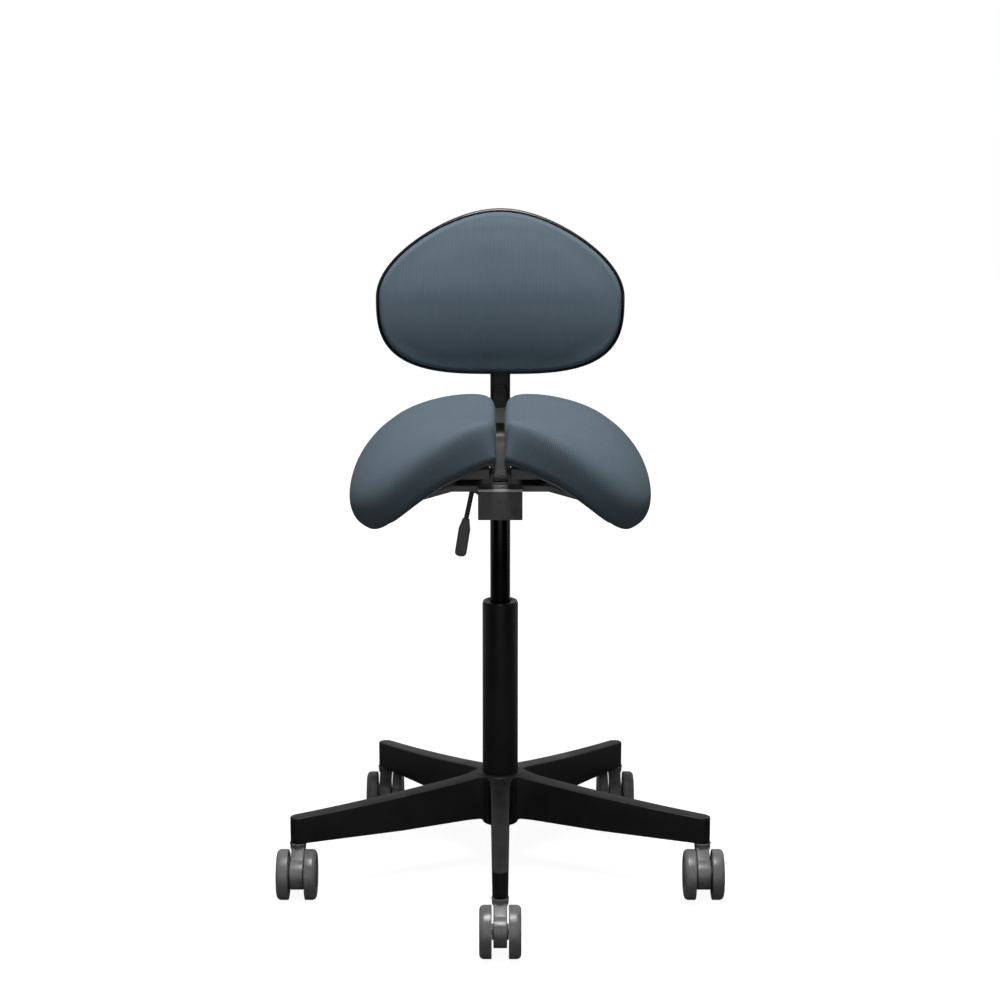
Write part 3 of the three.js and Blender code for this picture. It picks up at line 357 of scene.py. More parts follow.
def coated(name, colour, gloss, grain_scale, bump_depth, wear_and_highlight_colour, wear=0.5, dusty=0.3,
           gloss_change=0.12, **constants):
    """Colour with clouds, pale edges and dust; roughness with clouds; a bump from the grain. Pale edges are
    wear; on the bush they are a painted highlight.
    """
    tree, shader = start_finish(name, **constants)
    where = tree.nodes.new("ShaderNodeTexCoord").outputs["Object"]
    pattern = use(tree, grain, Vector=where, Scale=grain_scale, Cloud=CLOUD_SCALE)
    clouds = pattern.outputs["Cloud"]
    darker, lighter = (np.array(colour) * (1 + way * CLOUD_DEPTH) for way in (-1, 1))
    clouded = blend_colour(tree, clouds, (*darker, 1), (*lighter, 1))
    edges = use(tree, edge_wear_and_highlight, Vector=where, Width=WEAR_WIDTH, Amount=wear).outputs["Mask"]
    worn_and_highlit = blend_colour(tree, edges, clouded, (*wear_and_highlight_colour, 1))
    settled_dust = use(tree, dust, Vector=where, Amount=dusty).outputs["Mask"]
    dusted = blend_colour(tree, settled_dust, worn_and_highlit, DUST_COLOUR)
    wire(tree, shader.inputs["Base Color"], dusted)
    cloudy_gloss = maths(tree, "MULTIPLY_ADD", clouds, gloss_change, gloss - gloss_change / 2)
    dulled = maths(tree, "MULTIPLY_ADD", settled_dust, DUST_DULLS, cloudy_gloss)
    wire(tree, shader.inputs["Roughness"], dulled)
    bump(tree, shader, pattern.outputs["Height"], 0.35, bump_depth)


coated("black_paint", (0.015, 0.015, 0.0155), 0.4, 1100, 0.00012, (0.05, 0.05, 0.052),
       wear=0.6, dusty=0.1, IOR=1.35)
# The plate's and brackets' grey is about twice as pale as the housing's: painted light, standing in for the
# light that the seat pads keep off them.
coated("grey_paint", (0.27, 0.27, 0.275), 0.42, 1000, 0.00012, (0.36, 0.36, 0.365),
       wear=0.7, dusty=0.12, IOR=1.4)
coated("housing_paint", (0.14, 0.14, 0.143), 0.3, 1000, 0.00008, (0.2, 0.2, 0.205),
       wear=0.5, dusty=0.3)
# The bar's paint is the black paint made about seven times paler: painted light on the back bar, the channel
# and the lever rod, which stand in shade.
coated("bar_paint", (0.1, 0.1, 0.102), 0.42, 1000, 0.0001, (0.09, 0.09, 0.092),
       wear=0.6, dusty=0.1)
coated("cast_metal", (0.15, 0.15, 0.155), 0.45, 700, 0.0002, (0.32, 0.32, 0.33),
       wear=0.5, dusty=0.15, Metallic=0.4)
coated("dark_plastic", (0.2, 0.2, 0.202), 0.38, 1500, 0.0001, (0.07, 0.07, 0.072),
       wear=0.35, dusty=0.15)
coated("wheel_plastic", (0.21, 0.21, 0.212), 0.28, 500, 0.00006, (0.3, 0.3, 0.3),
       wear=0.3, dusty=0.3, gloss_change=0.18)
coated("gloss_plastic", (0.006, 0.006, 0.0065), 0.16, 240, 0.00002, (0.03, 0.03, 0.03),
       wear=0.2, dusty=0.08, gloss_change=0.1)
# The bush's edge colour is 25 times its base, with the edge mask turned up to 1.6: a painted highlight along
# the rim.
coated("bush_plastic_painted_rim", (0.012, 0.012, 0.0125), 0.3, 400, 0.0001, (0.3, 0.3, 0.3),
       wear=1.6, dusty=0.3)
coated("rubber", (0.018, 0.018, 0.018), 0.8, 800, 0.0002, (0.04, 0.04, 0.04),
       wear=0.3, dusty=0.4)
coated("black_tube", (0.002, 0.002, 0.0022), 0.2, 300, 0.00002, (0.03, 0.03, 0.03),
       wear=0.2, dusty=0.0, IOR=1.35)
print("finishes", sorted(finishes))

# %% [markdown]
# The housing is folded from sheet. Its front top fold gets a painted highlight: one pale line
# of colour, with a dark line of painted shade under it. Both are bands of height in the
# housing's own coordinates, laid over the painted colour of its front face only.

# %% Painted highlight and shade on the housing's fold
HIGHLIGHT_LOW, HIGHLIGHT_HIGH, SHADE_LINE, SHADE_LINE_EDGE = 0.5630, 0.5634, 0.5622, 0.0002
FRONT_FULL, FRONT_ENDS = -0.0185, -0.0175
tree = finishes["housing_paint"].node_tree
shader = next(n for n in tree.nodes if n.type == "BSDF_PRINCIPLED")
painted = shader.inputs["Base Color"].links[0].from_socket
place = tree.nodes.new("ShaderNodeTexCoord").outputs["Object"]
level = put(tree, "SeparateXYZ", place, out=2)
depth = put(tree, "SeparateXYZ", place, out=1)
forward = ramp(tree, depth, FRONT_FULL, FRONT_ENDS, 1.0, 0.0)
# Painted shade: a near black band just under the fold. Painted highlight: a near white band on the fold. Both
# are on the front face only.
in_painted_shade = maths(tree, "MULTIPLY", ramp(tree, level, SHADE_LINE - SHADE_LINE_EDGE, SHADE_LINE), forward)
in_painted_highlight = maths(tree, "MULTIPLY", ramp(tree, level, HIGHLIGHT_LOW, HIGHLIGHT_HIGH), forward)
with_painted_shade = blend_colour(tree, in_painted_shade, painted, (0.01, 0.01, 0.01, 1))
wire(tree, shader.inputs["Base Color"], blend_colour(tree, in_painted_highlight, with_painted_shade, (0.85, 0.85, 0.84, 1)))
print("painted fold highlight from", HIGHLIGHT_LOW, "m up")

# %% [markdown]
# Bare steel is turned or drawn, so it has fine lines round its axis or along its length. The
# grain is stretched by a Mapping node to make those lines, and a second noise dims it where
# oil and fingerprints have been.

# %% Steel
tree, shader = start_finish("steel", Metallic=1.0)
where = tree.nodes.new("ShaderNodeTexCoord").outputs["Object"]
stretched = put(tree, "Mapping", where, None, None, (1.0, 1.0, 14.0))
lines = use(tree, grain, Vector=stretched, Scale=160.0, Cloud=20.0)
edges = use(tree, edge_wear_and_highlight, Vector=where, Width=0.0006, Amount=0.6).outputs["Mask"]
smudged = blend_colour(tree, lines.outputs["Cloud"], (0.36, 0.36, 0.37, 1), (0.52, 0.52, 0.53, 1))
wire(tree, shader.inputs["Base Color"], blend_colour(tree, edges, smudged, (0.7, 0.7, 0.7, 1)))
wire(tree, shader.inputs["Roughness"], ramp(tree, lines.outputs["Height"], 0.0, 1.0, 0.28, 0.46))
bump(tree, shader, lines.outputs["Height"], 0.25, 0.00003)

# %% [markdown]
# The cloth is blue-grey with a darker thread beneath. It has no gloss of its own, but short
# fibres stand up from it and catch the light at a glancing angle, which the shader calls
# sheen. The tone of each crossing, the cloud of wear, and the bump all come from the weave.

# %% Cloth
CLOTH_MAP = "cloth_map"
tree, shader = start_finish(
    "fabric", Sheen_Weight=0.05, Sheen_Roughness=0.45, Sheen_Tint=(0.75, 0.85, 0.9, 1), IOR=1.3,
    Specular_IOR_Level=0.25)
laid = put(tree, "UVMap", uv_map=CLOTH_MAP)
cloth = use(tree, weave, Cloth=laid, Pitch=THREAD_PITCH)
deep_thread, pale_thread = (0.120, 0.160, 0.194, 1), (0.186, 0.248, 0.298, 1)
shade = blend_colour(tree, cloth.outputs["Tone"], deep_thread, pale_thread)
faded = blend_colour(tree, cloth.outputs["Cloud"], grey(0.9), grey(1.0))
wire(tree, shader.inputs["Base Color"],
     put(tree, "Mix", 1.0, shade, faded, data_type="RGBA", blend_type="MULTIPLY"))
wire(tree, shader.inputs["Roughness"], ramp(tree, cloth.outputs["Height"], 0.0, 1.0, 0.95, 0.8))
bump(tree, shader, cloth.outputs["Height"], 0.2, 0.0003)
print("finishes", sorted(finishes))

# %% [markdown]
# Every new surface here is a grid of points worked out as a whole array. Grids come as rings:
# row after row of points round a closed line. The helper skins them with four-cornered faces,
# closes each end with a fan round one point if it is given, and turns the whole mesh over if
# its volume comes out negative, so that faces always point outwards.

# %% Skinning rings of points
MM = 0.001
BOTH_SIDES = (("left", 1), ("right", -1))


def stand(points):
    """Millimetres counted from the column's axis, to metres in the frame."""
    return (np.asarray(points, float) + (0, AXIS_Y / MM, 0)) * MM


def faces_of(rings, first=False, last=False, loop=False):
    """Corner numbers of the faces over (count, sides) rings, with fans at the ends."""
    count, sides = rings.shape[:2]
    here = np.arange(count * sides).reshape(count, sides)
    right = np.roll(here, -1, axis=1)
    if loop:
        below, below_right = np.roll(here, -1, axis=0), np.roll(right, -1, axis=0)
        quads = np.stack([here, below, below_right, right], -1)
    else:
        quads = np.stack([here[:-1], here[1:], right[1:], right[:-1]], -1)
    faces = quads.reshape(-1, 4).tolist()
    if first:
        pole = np.full(sides, count * sides)
        faces += np.stack([pole, here[0], right[0]], -1).tolist()
    if last:
        pole = np.full(sides, count * sides + int(first))
        faces += np.stack([here[-1], pole, right[-1]], -1).tolist()
    return faces


def skin(rings, first=None, last=None, loop=False):
    """Points in metres and faces for one closed surface over rings in millimetres."""
    rings = np.asarray(rings, float)
    points = rings.reshape(-1, 3)
    for pole in (first, last):
        if pole is not None:
            points = np.vstack([points, pole])
    return stand(points), faces_of(rings, first is not None, last is not None, loop)


def volume(points, faces):
    """Signed volume: the sum of the tetrahedra from the origin to each face."""
    threes = np.array([f[:3] for f in faces] + [(f[0], f[2], f[3]) for f in faces if len(f) == 4])
    a, b, c = (points[threes[:, i]] for i in range(3))
    return float(np.einsum("ij,ij->i", a, np.cross(b, c)).sum() / 6)


def add(name, mesh, slot, body, node, sharp, finish=None):
    """Put a mesh into the scene with its finish, body and the CAD node that it stands for."""
    mesh.shade_smooth()
    mesh.set_sharp_from_angle(angle=math.radians(sharp))
    mesh.materials.append(finishes[finish or slot])
    made = bpy.data.objects.new(name, mesh)
    scene.collection.objects.link(made)
    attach(made, body)
    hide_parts(node)
    return made


def piece(name, shells, slot, body, node, sharp=35.0, finish=None):
    """One named piece from one or more closed shells."""
    points, faces = np.zeros((0, 3)), []
    for shell_points, shell_faces in shells:
        if volume(shell_points - shell_points.mean(0), shell_faces) < 0:
            shell_faces = [f[::-1] for f in shell_faces]
        faces += [[i + len(points) for i in f] for f in shell_faces]
        points = np.vstack([points, shell_points])
    mesh = bpy.data.meshes.new(name)
    mesh.from_pydata(points.tolist(), [], faces)
    return add(name, mesh, slot, body, node, sharp, finish)


# %% [markdown]
# A turned piece is a profile spun round an axis. Real edges are never knife sharp: a lathe
# tool or a mould leaves a small radius, and that radius is what catches the light. So the
# profile is written as corners with a radius each, and every corner becomes a short arc that
# is tangent to both of its sides.

# %% Rounded profiles and turned pieces
def rounded(corners, steps=4, closed=True):
    """Rows (u, v, radius) to points. The arc's centre lies on the corner's bisector."""
    rows = np.array([(*c, 0.0)[:3] for c in corners], float)
    p, radius = rows[:, :2], rows[:, 2].copy()
    before, after = np.roll(p, 1, 0) - p, np.roll(p, -1, 0) - p
    if not closed:
        radius[[0, -1]] = 0
    length_b, length_a = (np.linalg.norm(d, axis=1) + 1e-12 for d in (before, after))
    unit_b, unit_a = before / length_b[:, None], after / length_a[:, None]
    half_angle = np.arccos(np.clip((unit_b * unit_a).sum(1), -1, 1)) / 2
    longest = 0.49 * np.minimum(length_b, length_a)
    reach = np.minimum(radius / np.tan(np.maximum(half_angle, 1e-6)), longest)
    t = np.linspace(0, 1, steps + 1)[None, :, None]
    start, end = p + unit_b * reach[:, None], p + unit_a * reach[:, None]
    bisector = unit_b + unit_a
    bisector /= np.linalg.norm(bisector, axis=1)[:, None] + 1e-12
    centre = p + bisector * (reach / np.maximum(np.cos(half_angle), 1e-6))[:, None]
    arm_s, arm_e = (start - centre)[:, None], (end - centre)[:, None]
    turn = (math.pi - 2 * half_angle)[:, None, None]
    safe = np.maximum(np.sin(turn), 1e-6)
    arc = centre[:, None] + (np.sin((1 - t) * turn) * arm_s + np.sin(t * turn) * arm_e) / safe
    arc = np.where((reach < 1e-9)[:, None, None], p[:, None], arc)
    points = arc.reshape(-1, 2)
    gap = np.linalg.norm(points - np.roll(points, 1, 0), axis=1) > 1e-4
    if not closed:
        gap[0] = True
    return points[gap]


AXES = {"z": (0, 1, 2), "x": (1, 2, 0)}


def rounded_square(radius, steps):
    """A square that reaches 1 each way, with rounded corners."""
    return rounded([(x, y, radius) for x, y in ((-1, -1), (1, -1), (1, 1), (-1, 1))], steps)


def full_turn(sides):
    """Evenly spaced angles that go once round."""
    return np.arange(sides) / sides * 2 * math.pi


def spun(radius, height, angle):
    """Columns of radii and heights to rings: radius cos, radius sin, height."""
    return np.stack([radius * np.cos(angle), radius * np.sin(angle), height + 0 * angle], -1)


def turned(profile, centre=(0, 0, 0), axis="z", sides=64, loop=False):
    """Rows (radius, height) spun round an axis that passes through a centre."""
    profile = np.asarray(profile, float)
    poles = [None, None]
    if not loop:
        poles = [(0, 0, profile[i, 1]) if profile[i, 0] < 1e-6 else None for i in (0, -1)]
        profile = profile[profile[:, 0] >= 1e-6]
    rings = spun(profile[:, :1], profile[:, 1:], full_turn(sides))
    order = np.argsort(AXES[axis])
    move = lambda q: None if q is None else np.asarray(q, float)[..., order] + centre
    return skin(move(rings), move(poles[0]), move(poles[1]), loop)


print("rounded square", len(rounded_square(0.2, 4)), "points")

# %% [markdown]
# The gas lift is what lets the seat rise. What shows is an outer column of painted steel, the
# plastic bush in its mouth, and the thinner black tube that slides through it. The column's
# rim is rolled over a little, and the bush has an eased edge, made pale by a painted highlight,
# and a shallow step down to the tube.

# %% Gas lift
COLUMN_FLOOR, COLUMN_TOP, BUSH_TOP = 71, 392, 395
TUBE_LOW, TUBE_TOP, TUBE_END = 255, 543, 4
column_wall = rounded([(23, COLUMN_FLOOR, 0.7), (25, COLUMN_FLOOR, 0.7), (25, COLUMN_TOP, 0.7),
                       (23, COLUMN_TOP, 0.7)])
bush = rounded([(14.3, 302, 0.4), (22.7, 302, 0.8), (22.7, COLUMN_TOP, 0), (24, COLUMN_TOP, 0.3),
                (24, BUSH_TOP, 1.0), (18.4, BUSH_TOP, 0.6), (17.2, 393.4, 0.5), (14.3, 393.4, 0.4)])
tube_wall = rounded([(5.3, TUBE_LOW, 0.3), (14, TUBE_LOW, 1.2), (14, TUBE_TOP, 1.2),
                     (3.5, TUBE_TOP, 0.3), (3.5, TUBE_TOP - TUBE_END, 0.3),
                     (12.4, TUBE_TOP - TUBE_END, 0.3), (12.4, TUBE_LOW + TUBE_END, 0.3),
                     (5.3, TUBE_LOW + TUBE_END, 0.3)])
piece("lift_column", [turned(column_wall, loop=True)], "black_paint", "base", "column_tube")
# The bush's pale rim is a painted highlight.
piece("lift_bush", [turned(bush, loop=True)], "dark_plastic", "base", "guide_bush",
      finish="bush_plastic_painted_rim")
piece("lift_tube", [turned(tube_wall, loop=True)], "black_tube", "seat_frame", "pressure_tube")

# %% [markdown]
# Each caster has two wheels on one axle, with a yoke between them. A wheel is turned: a flat
# tread, a big soft shoulder on the outside, a crisp one on the inside, and a shallow dish with
# a cap in its face. It could be a plain cylinder, but the shoulder is what makes the wheel
# look moulded, because it bends the reflection.

# %% Wheels
LEG_REACH, TRAIL, WHEEL_R = 295.0, 27.0, 35.0
WHEEL_INNER, WHEEL_OUTER, BORE_R, BORE_END = 11.2, 27.4, 3.3, 23.9
leg_angle = [-math.pi / 2 + i * 2 * math.pi / 5 for i in range(5)]
stems = [np.array((LEG_REACH * math.cos(a), LEG_REACH * math.sin(a), 0)) for a in leg_angle]

wheel_profile = rounded([
    (BORE_R, BORE_END, 0), (BORE_R, WHEEL_INNER, 0.4), (24.0, WHEEL_INNER, 0.5), (26.0, WHEEL_INNER + 1.6, 0.8),
    (31.0, WHEEL_INNER + 1.6, 0.8), (32.6, WHEEL_INNER, 0.6), (WHEEL_R, WHEEL_INNER, 1.6),
    (WHEEL_R, WHEEL_OUTER, 8.6), (22.5, WHEEL_OUTER, 0.7), (21.6, WHEEL_OUTER - 1.2, 0.5),
    (20.6, WHEEL_OUTER - 1.2, 0.5), (19.6, WHEEL_OUTER - 0.3, 0.8), (8.0, WHEEL_OUTER - 0.1, 6.0),
    (0, WHEEL_OUTER - 0.1)], steps=6, closed=False)
wheel_profile = np.vstack([[(0, BORE_END)], wheel_profile])
for i, stem in enumerate(stems):
    axle = stem + (0, -TRAIL, WHEEL_R)
    for name, side in BOTH_SIDES:
        wheel = turned(wheel_profile * (1, side), axle, "x", 72)
        piece(f"roller_{name}_{i + 1}", [wheel], "wheel_plastic", f"wheel_{name}_{i + 1}",
              f"wheel_{name}_{i + 1}", sharp=50)
print("wheel profile", len(wheel_profile), "points, tread", 2 * WHEEL_R, "mm")

# %% [markdown]
# The yoke holds the axle behind the stem, so that the caster trails. It is one moulding: a
# disc between the wheels, a neck that rises from it, and a cup that the stem drops into. The
# disc is turned, the neck is a rounded block carried up from the disc to the cup, and the cup
# flares to a lip. Where they meet they simply run into each other, as a moulding does.

# %% Yokes
def capped(rings):
    """A closed surface whose ends are fans round the middle of the first and last ring."""
    return skin(rings, rings[0].mean(0), rings[-1].mean(0))


disc_profile = rounded([(0, -9), (20.2, -9, 1.0), (21, -8.2, 0.8), (21, 8.2, 0.8), (20.2, 9, 1.0),
                        (0, 9)], steps=3, closed=False)
spacer_profile = rounded([(0, -10.9), (10.5, -10.9, 0.3), (10.5, 10.9, 0.3), (0, 10.9)],
                         steps=2, closed=False)
cup_profile = rounded([(0, 56), (9.0, 56, 0.5), (9.4, 60.5, 1.0), (10.9, 63.4, 1.0), (10.6, 64.6, 0.4),
                       (11.2, 65.4, 0.4), (11.0, 68.0, 1.0), (11.9, 71.6, 0.5), (11.5, 72.3, 0.3),
                       (9.6, 72.3, 0.4), (9.4, 70.6, 0.4), (5.8, 70.6, 0.2), (5.8, 46, 0)],
                      steps=3, closed=False)


DISC_R, CUP_R, NECK_LOW, NECK_TOP, NECK_HALF = 21.0, 9.0, 24.0, 66.0, 8.95
FRONT_LEAVES, FRONT_OUT, BACK_LEAVES, BACK_OUT, HEEL_OUT = 48.0, 13.0, 46.0, 12.0, 8.0


def neck():
    """A rounded rectangle at each level. Its front and back edges follow the disc, and from the
    levels where they leave it they cross to the cup by a power of the share of height."""
    level = np.linspace(NECK_LOW, NECK_TOP, 15)[:, None]
    rise = (level - NECK_LOW) / (NECK_TOP - NECK_LOW)
    disc = DISC_R * np.sqrt(np.clip(1 - ((level - WHEEL_R) / DISC_R) ** 2, 0, 1))
    cross = ((level - FRONT_LEAVES) / (NECK_TOP - FRONT_LEAVES)).clip(0, 1) ** 0.8
    nose = np.where(level < FRONT_LEAVES, disc, FRONT_OUT + (CUP_R + TRAIL - FRONT_OUT) * cross)
    cross = ((level - BACK_LEAVES) / (NECK_TOP - BACK_LEAVES)).clip(0) ** 1.4
    heel = np.where(level > BACK_LEAVES, (TRAIL + BACK_OUT - CUP_R) * cross - BACK_OUT,
                    -disc * (1 - rise) - HEEL_OUT * rise)
    shape = rounded_square(0.22, 3)
    y = (nose + heel) / 2 + (nose - heel) / 2 * shape[:, 1] - TRAIL
    return np.stack([NECK_HALF * shape[:, 0] + 0 * level, y, level + 0 * y], -1)


neck_rings = neck()
for i, stem in enumerate(stems):
    axle = stem + (0, -TRAIL, WHEEL_R)
    shells = [turned(disc_profile, axle, "x", 72), turned(spacer_profile, axle, "x", 40),
              turned(cup_profile, stem, "z", 48), capped(neck_rings + stem)]
    piece(f"yoke_{i + 1}", shells, "dark_plastic", f"caster_{i + 1}", f"caster_yoke_{i + 1}",
          finish="wheel_plastic")
print("yokes", len(stems))

# %% [markdown]
# The base is one casting: a hub with five legs. Each leg is an upside-down trough, deep at
# the hub and slim at the tip, with a rounded end over the caster's stem. Its section is a U
# with eased outer edges, carried from the hub to the tip while its height, width and walls
# change. Near the hub the leg swells into a fillet, where the casting flows together.

# %% Star base
HUB_BORE, HUB_R, HUB_LOW, HUB_TOP = 25.3, 35.0, 80, 146
LEG_STARTS, ROOT_HALF, TIP_HALF, LEG_WALL, LEG_ROOF = 18, 13.5, 10.5, 3.5, 3.2
TOP_ROOT, TOP_MIDDLE, TOP_TIP = 143, 121.5, 110
UNDER_ROOT, UNDER_MIDDLE, UNDER_TIP = 84, 75.95, 72.9
FILLET_STARTS, FILLET_LONG, FILLET_WIDE, FILLET_HIGH = 24, 34, 7.0, 3.0
OUTER_EASE, LIP_EASE, TIP_SOLID, TIP_FLOOR = 1.6, 0.5, 14, 0.4


def block(section, centre, side, up):
    """A closed section (rows, sides, 2) carried along centres, on a side axis and an up axis."""
    centre, side, up = (np.broadcast_to(v, (len(section), 3))[:, None] for v in (centre, side, up))
    return capped(centre + section[..., :1] * side + section[..., 1:] * up)


def leg_shell(angle):
    """Section at each reach from the axis. The half width runs straight from root to tip, plus a
    fillet, and ends as a circle. The top is a quadratic curve, and the underside two lines."""
    bend = LEG_REACH + TIP_HALF * np.sin(np.linspace(0.1, math.pi / 2, 12))
    reach = np.concatenate([np.linspace(LEG_STARTS, LEG_REACH, 44), bend])
    past_root = reach - FILLET_STARTS
    straight = ROOT_HALF + (TIP_HALF - ROOT_HALF) * np.minimum(reach, LEG_REACH) / LEG_REACH
    straight += FILLET_WIDE * np.clip(1 - past_root / FILLET_LONG, 0, 1) ** 2.2
    past = np.clip(reach - LEG_REACH, 0, TIP_HALF)
    half_width = np.where(past > 0, np.sqrt(TIP_HALF ** 2 - past ** 2), straight).clip(0.02)
    s = np.clip((reach - HUB_R) / (LEG_REACH - HUB_R), 0, 1.04)
    top = (1 - s) ** 2 * TOP_ROOT + 2 * s * (1 - s) * TOP_MIDDLE + s ** 2 * TOP_TIP
    top += FILLET_HIGH * np.clip(1 - past_root / 30, 0, 1) ** 2
    middle = LEG_REACH / 2
    to_middle = np.minimum(reach / middle, 1)
    to_tip = np.clip((reach - middle) / (LEG_REACH - TIP_HALF - middle), 0, 1)
    low = UNDER_ROOT + (UNDER_MIDDLE - UNDER_ROOT) * to_middle + (UNDER_TIP - UNDER_MIDDLE) * to_tip
    solid = np.clip((reach - (LEG_REACH - TIP_SOLID)) / 2, 0, 1)
    roof = top - LEG_ROOF - solid * (top - low - LEG_ROOF - TIP_FLOOR)
    ease = np.minimum(OUTER_EASE, half_width * 0.5)
    inside = half_width - np.minimum(LEG_WALL, half_width * 0.45)
    right = [(half_width - LIP_EASE, low), (half_width, low + LIP_EASE)]
    right += [(half_width - ease * (1 - math.cos(t)), top - ease * (1 - math.sin(t)))
              for t in np.linspace(0, math.pi / 2, 5)]
    left = [(-x, z) for x, z in right[::-1]]
    inner = [(-inside, low), (-inside, roof), (inside, roof), (inside, low)]
    section = np.array(right + left + inner).transpose(2, 0, 1)
    along = np.array((math.cos(angle), math.sin(angle), 0))
    return block(section, reach[:, None] * along, (-along[1], along[0], 0), (0, 0, 1))


hub_wall = rounded([(HUB_BORE, HUB_LOW, 0.8), (HUB_R, HUB_LOW, 1.2), (HUB_R, HUB_TOP, 4.5),
                    (HUB_BORE, HUB_TOP, 0.8)], steps=6)
shells = [turned(hub_wall, loop=True, sides=96)] + [leg_shell(a) for a in leg_angle]
piece("base_casting", shells, "black_paint", "base", "star_base", sharp=40)
print("base casting", len(shells), "shells")

# %% [markdown]
# Each half of the seat is a thick pad bent over the thigh like a sheet of rubber over an arm.
# Its middle line is an arc that starts flat at the inner edge and turns down faster and
# faster, and how far it turns changes from the front to the rear. A point of the pad is given
# by how far across and along it lies, and by its depth below the top. The same rule made the
# engineering solid, with fewer points.

# %% The bent sheet
SEAT_GAP, SEAT_FRONT, SEAT_REAR = 12.0, -136.0, 188.0
SEAT_LEVEL = 647.92
SEAT_RISE, SEAT_ARC = (33.0, 0.0, 12.0), (243.0, 277.0, 256.0)
SEAT_TURN, SEAT_POWER = (50.0, 77.0, 87.0), (0.36, 1.45, 1.87)
FRONT_DRAWN, REAR_DRAWN, SHEET_STEPS = 55, 44, 24


def between(sizes, along):
    """Quadratic through the front, middle and rear values; along runs from 0 to 1."""
    front, middle, rear = sizes
    t = 2 * along - 1
    return middle + t * (rear - front) / 2 + t * t * ((front + rear) / 2 - middle)


def bent_sheet(across, along, depth):
    """Walk along the arc in short steps, adding cos and sin of the slope, and step down by depth.
    The front and rear edges are drawn in by a power of the way across."""
    turn = np.radians(between(SEAT_TURN, along))
    power = between(SEAT_POWER, along)
    arc = between(SEAT_ARC, along) * across
    steps = (np.arange(SHEET_STEPS) + 0.5) / SHEET_STEPS
    slope = turn[..., None] * (across[..., None] * steps) ** power[..., None]
    x = SEAT_GAP / 2 + arc * np.cos(slope).mean(-1)
    z = SEAT_LEVEL + between(SEAT_RISE, along) - arc * np.sin(slope).mean(-1)
    here = turn * across ** power
    front = SEAT_FRONT + FRONT_DRAWN * across ** 2.2
    rear = SEAT_REAR - REAR_DRAWN * across ** 2
    y = front * (1 - along) + rear * along
    flat_inside = np.maximum(x - depth * np.sin(here), SEAT_GAP / 2)
    return np.stack([flat_inside, y, z - depth * np.cos(here)], -1)


print("sheet point", bent_sheet(np.array([0.5]), np.array([0.5]), np.array([0.0])).round(1))

# %% [markdown]
# The pad's plan is a rectangle with very round corners, crisp along the inner edge. Rings fill
# that plan, go round the edge, and come back underneath. The inner edge is a tight roll and
# the outer one a wide, soft one. The cloth map is the plan laid flat, and where the pad turns
# down its sides the map runs on outwards, so that the threads keep their spacing.

# %% Rings of the seat pad
PAD_INNER, PAD_OUTER, PARTING, CROWN = (72.0, 56.0, 59.0), (55.0, 66.0, 61.0), 0.595, 4
INNER_EDGE, OUTER_EDGE, INNER_POWER, OUTER_POWER = 0.2, 0.565, 6.0, 2.4
FRONT_LIFT, LIFT_ENDS, LIFT_FADE, LIFT_STARTS = 10.0, 0.36, 0.22, 0.03


def pad_thickness(across, along):
    """Inner to outer thickness, changing smoothly over the inner half."""
    s = np.clip(across / 0.5, 0, 1)
    blend = s * s * (3 - 2 * s)
    inner, outer = between(PAD_INNER, along), between(PAD_OUTER, along)
    return inner + (outer - inner) * blend


def square_points(angle, power):
    """Cos and sin times (|cos|^p + |sin|^p)^(-1/p): a circle at p = 2, a square as p grows."""
    x, y = np.cos(angle), np.sin(angle)
    reach = (np.abs(x) ** power + np.abs(y) ** power) ** (-1 / power)
    return x * reach, y * reach


SIDES = 160
plan_angle = full_turn(SIDES)
plan_power = np.where(np.cos(plan_angle) < -1e-9, 9.5, 6.2)
toward_outer, toward_rear = square_points(plan_angle, plan_power)


def pad_rows(share, turn, lower, extra=0.0):
    """Rings of the pad. share fills the plan up to the rounded edge, and turn runs round that
    edge from 0 on the flat to a quarter turn at the parting line. The underside is raised by
    FRONT_LIFT near the front inner corner, fading to nothing across the pad, toward the rear,
    and at the inner wall."""
    share, turn = np.asarray(share, float)[:, None], np.asarray(turn, float)[:, None]
    outward = (1 + toward_outer) / 2
    edge_share = INNER_EDGE + (OUTER_EDGE - INNER_EDGE) * outward ** 1.5
    power = INNER_POWER + (OUTER_POWER - INNER_POWER) * outward
    edge = np.sin(turn) ** (2 / power)
    high = np.cos(turn) ** (2 / power)
    reach = share * (1 - edge_share) + edge * edge_share
    across = (reach * toward_outer + 1) / 2
    along = (reach * toward_rear + 1) / 2
    thick = pad_thickness(across, along)
    parting = thick * PARTING
    top = parting * (1 - high) - CROWN * (1 - reach ** 2)
    lift = FRONT_LIFT * (1 - along).clip(0, 1) * ((LIFT_ENDS - across) / LIFT_FADE).clip(0, 1)
    lift = lift * ((across - LIFT_STARTS) / LIFT_STARTS).clip(0, 1)
    under = parting + (thick - lift - parting) * high
    depth = (under if lower else top) + extra
    plan_y = SEAT_FRONT + (SEAT_REAR - SEAT_FRONT) * along
    plan = np.stack([between(SEAT_ARC, along) * across, plan_y], -1)
    return bent_sheet(across, along, depth), plan


def cloth_coordinates(rings, plan):
    """Plan place, plus the length run down the sides, laid off outwards from the plan's rim."""
    step = np.linalg.norm(np.diff(rings, axis=0), axis=-1)
    flat = np.linalg.norm(np.diff(plan, axis=0), axis=-1)
    extra = np.vstack([np.zeros(rings.shape[1]), np.cumsum(np.maximum(step - flat, 0), 0)])
    rim = plan[np.argmax(np.abs(plan - plan[0].mean(0)).sum(-1).mean(1))]
    tangent = np.roll(rim, -1, 0) - np.roll(rim, 1, 0)
    outward = np.stack([tangent[:, 1], -tangent[:, 0]], -1)
    outward /= np.linalg.norm(outward, axis=1)[:, None] + 1e-9
    return plan + extra[..., None] * outward


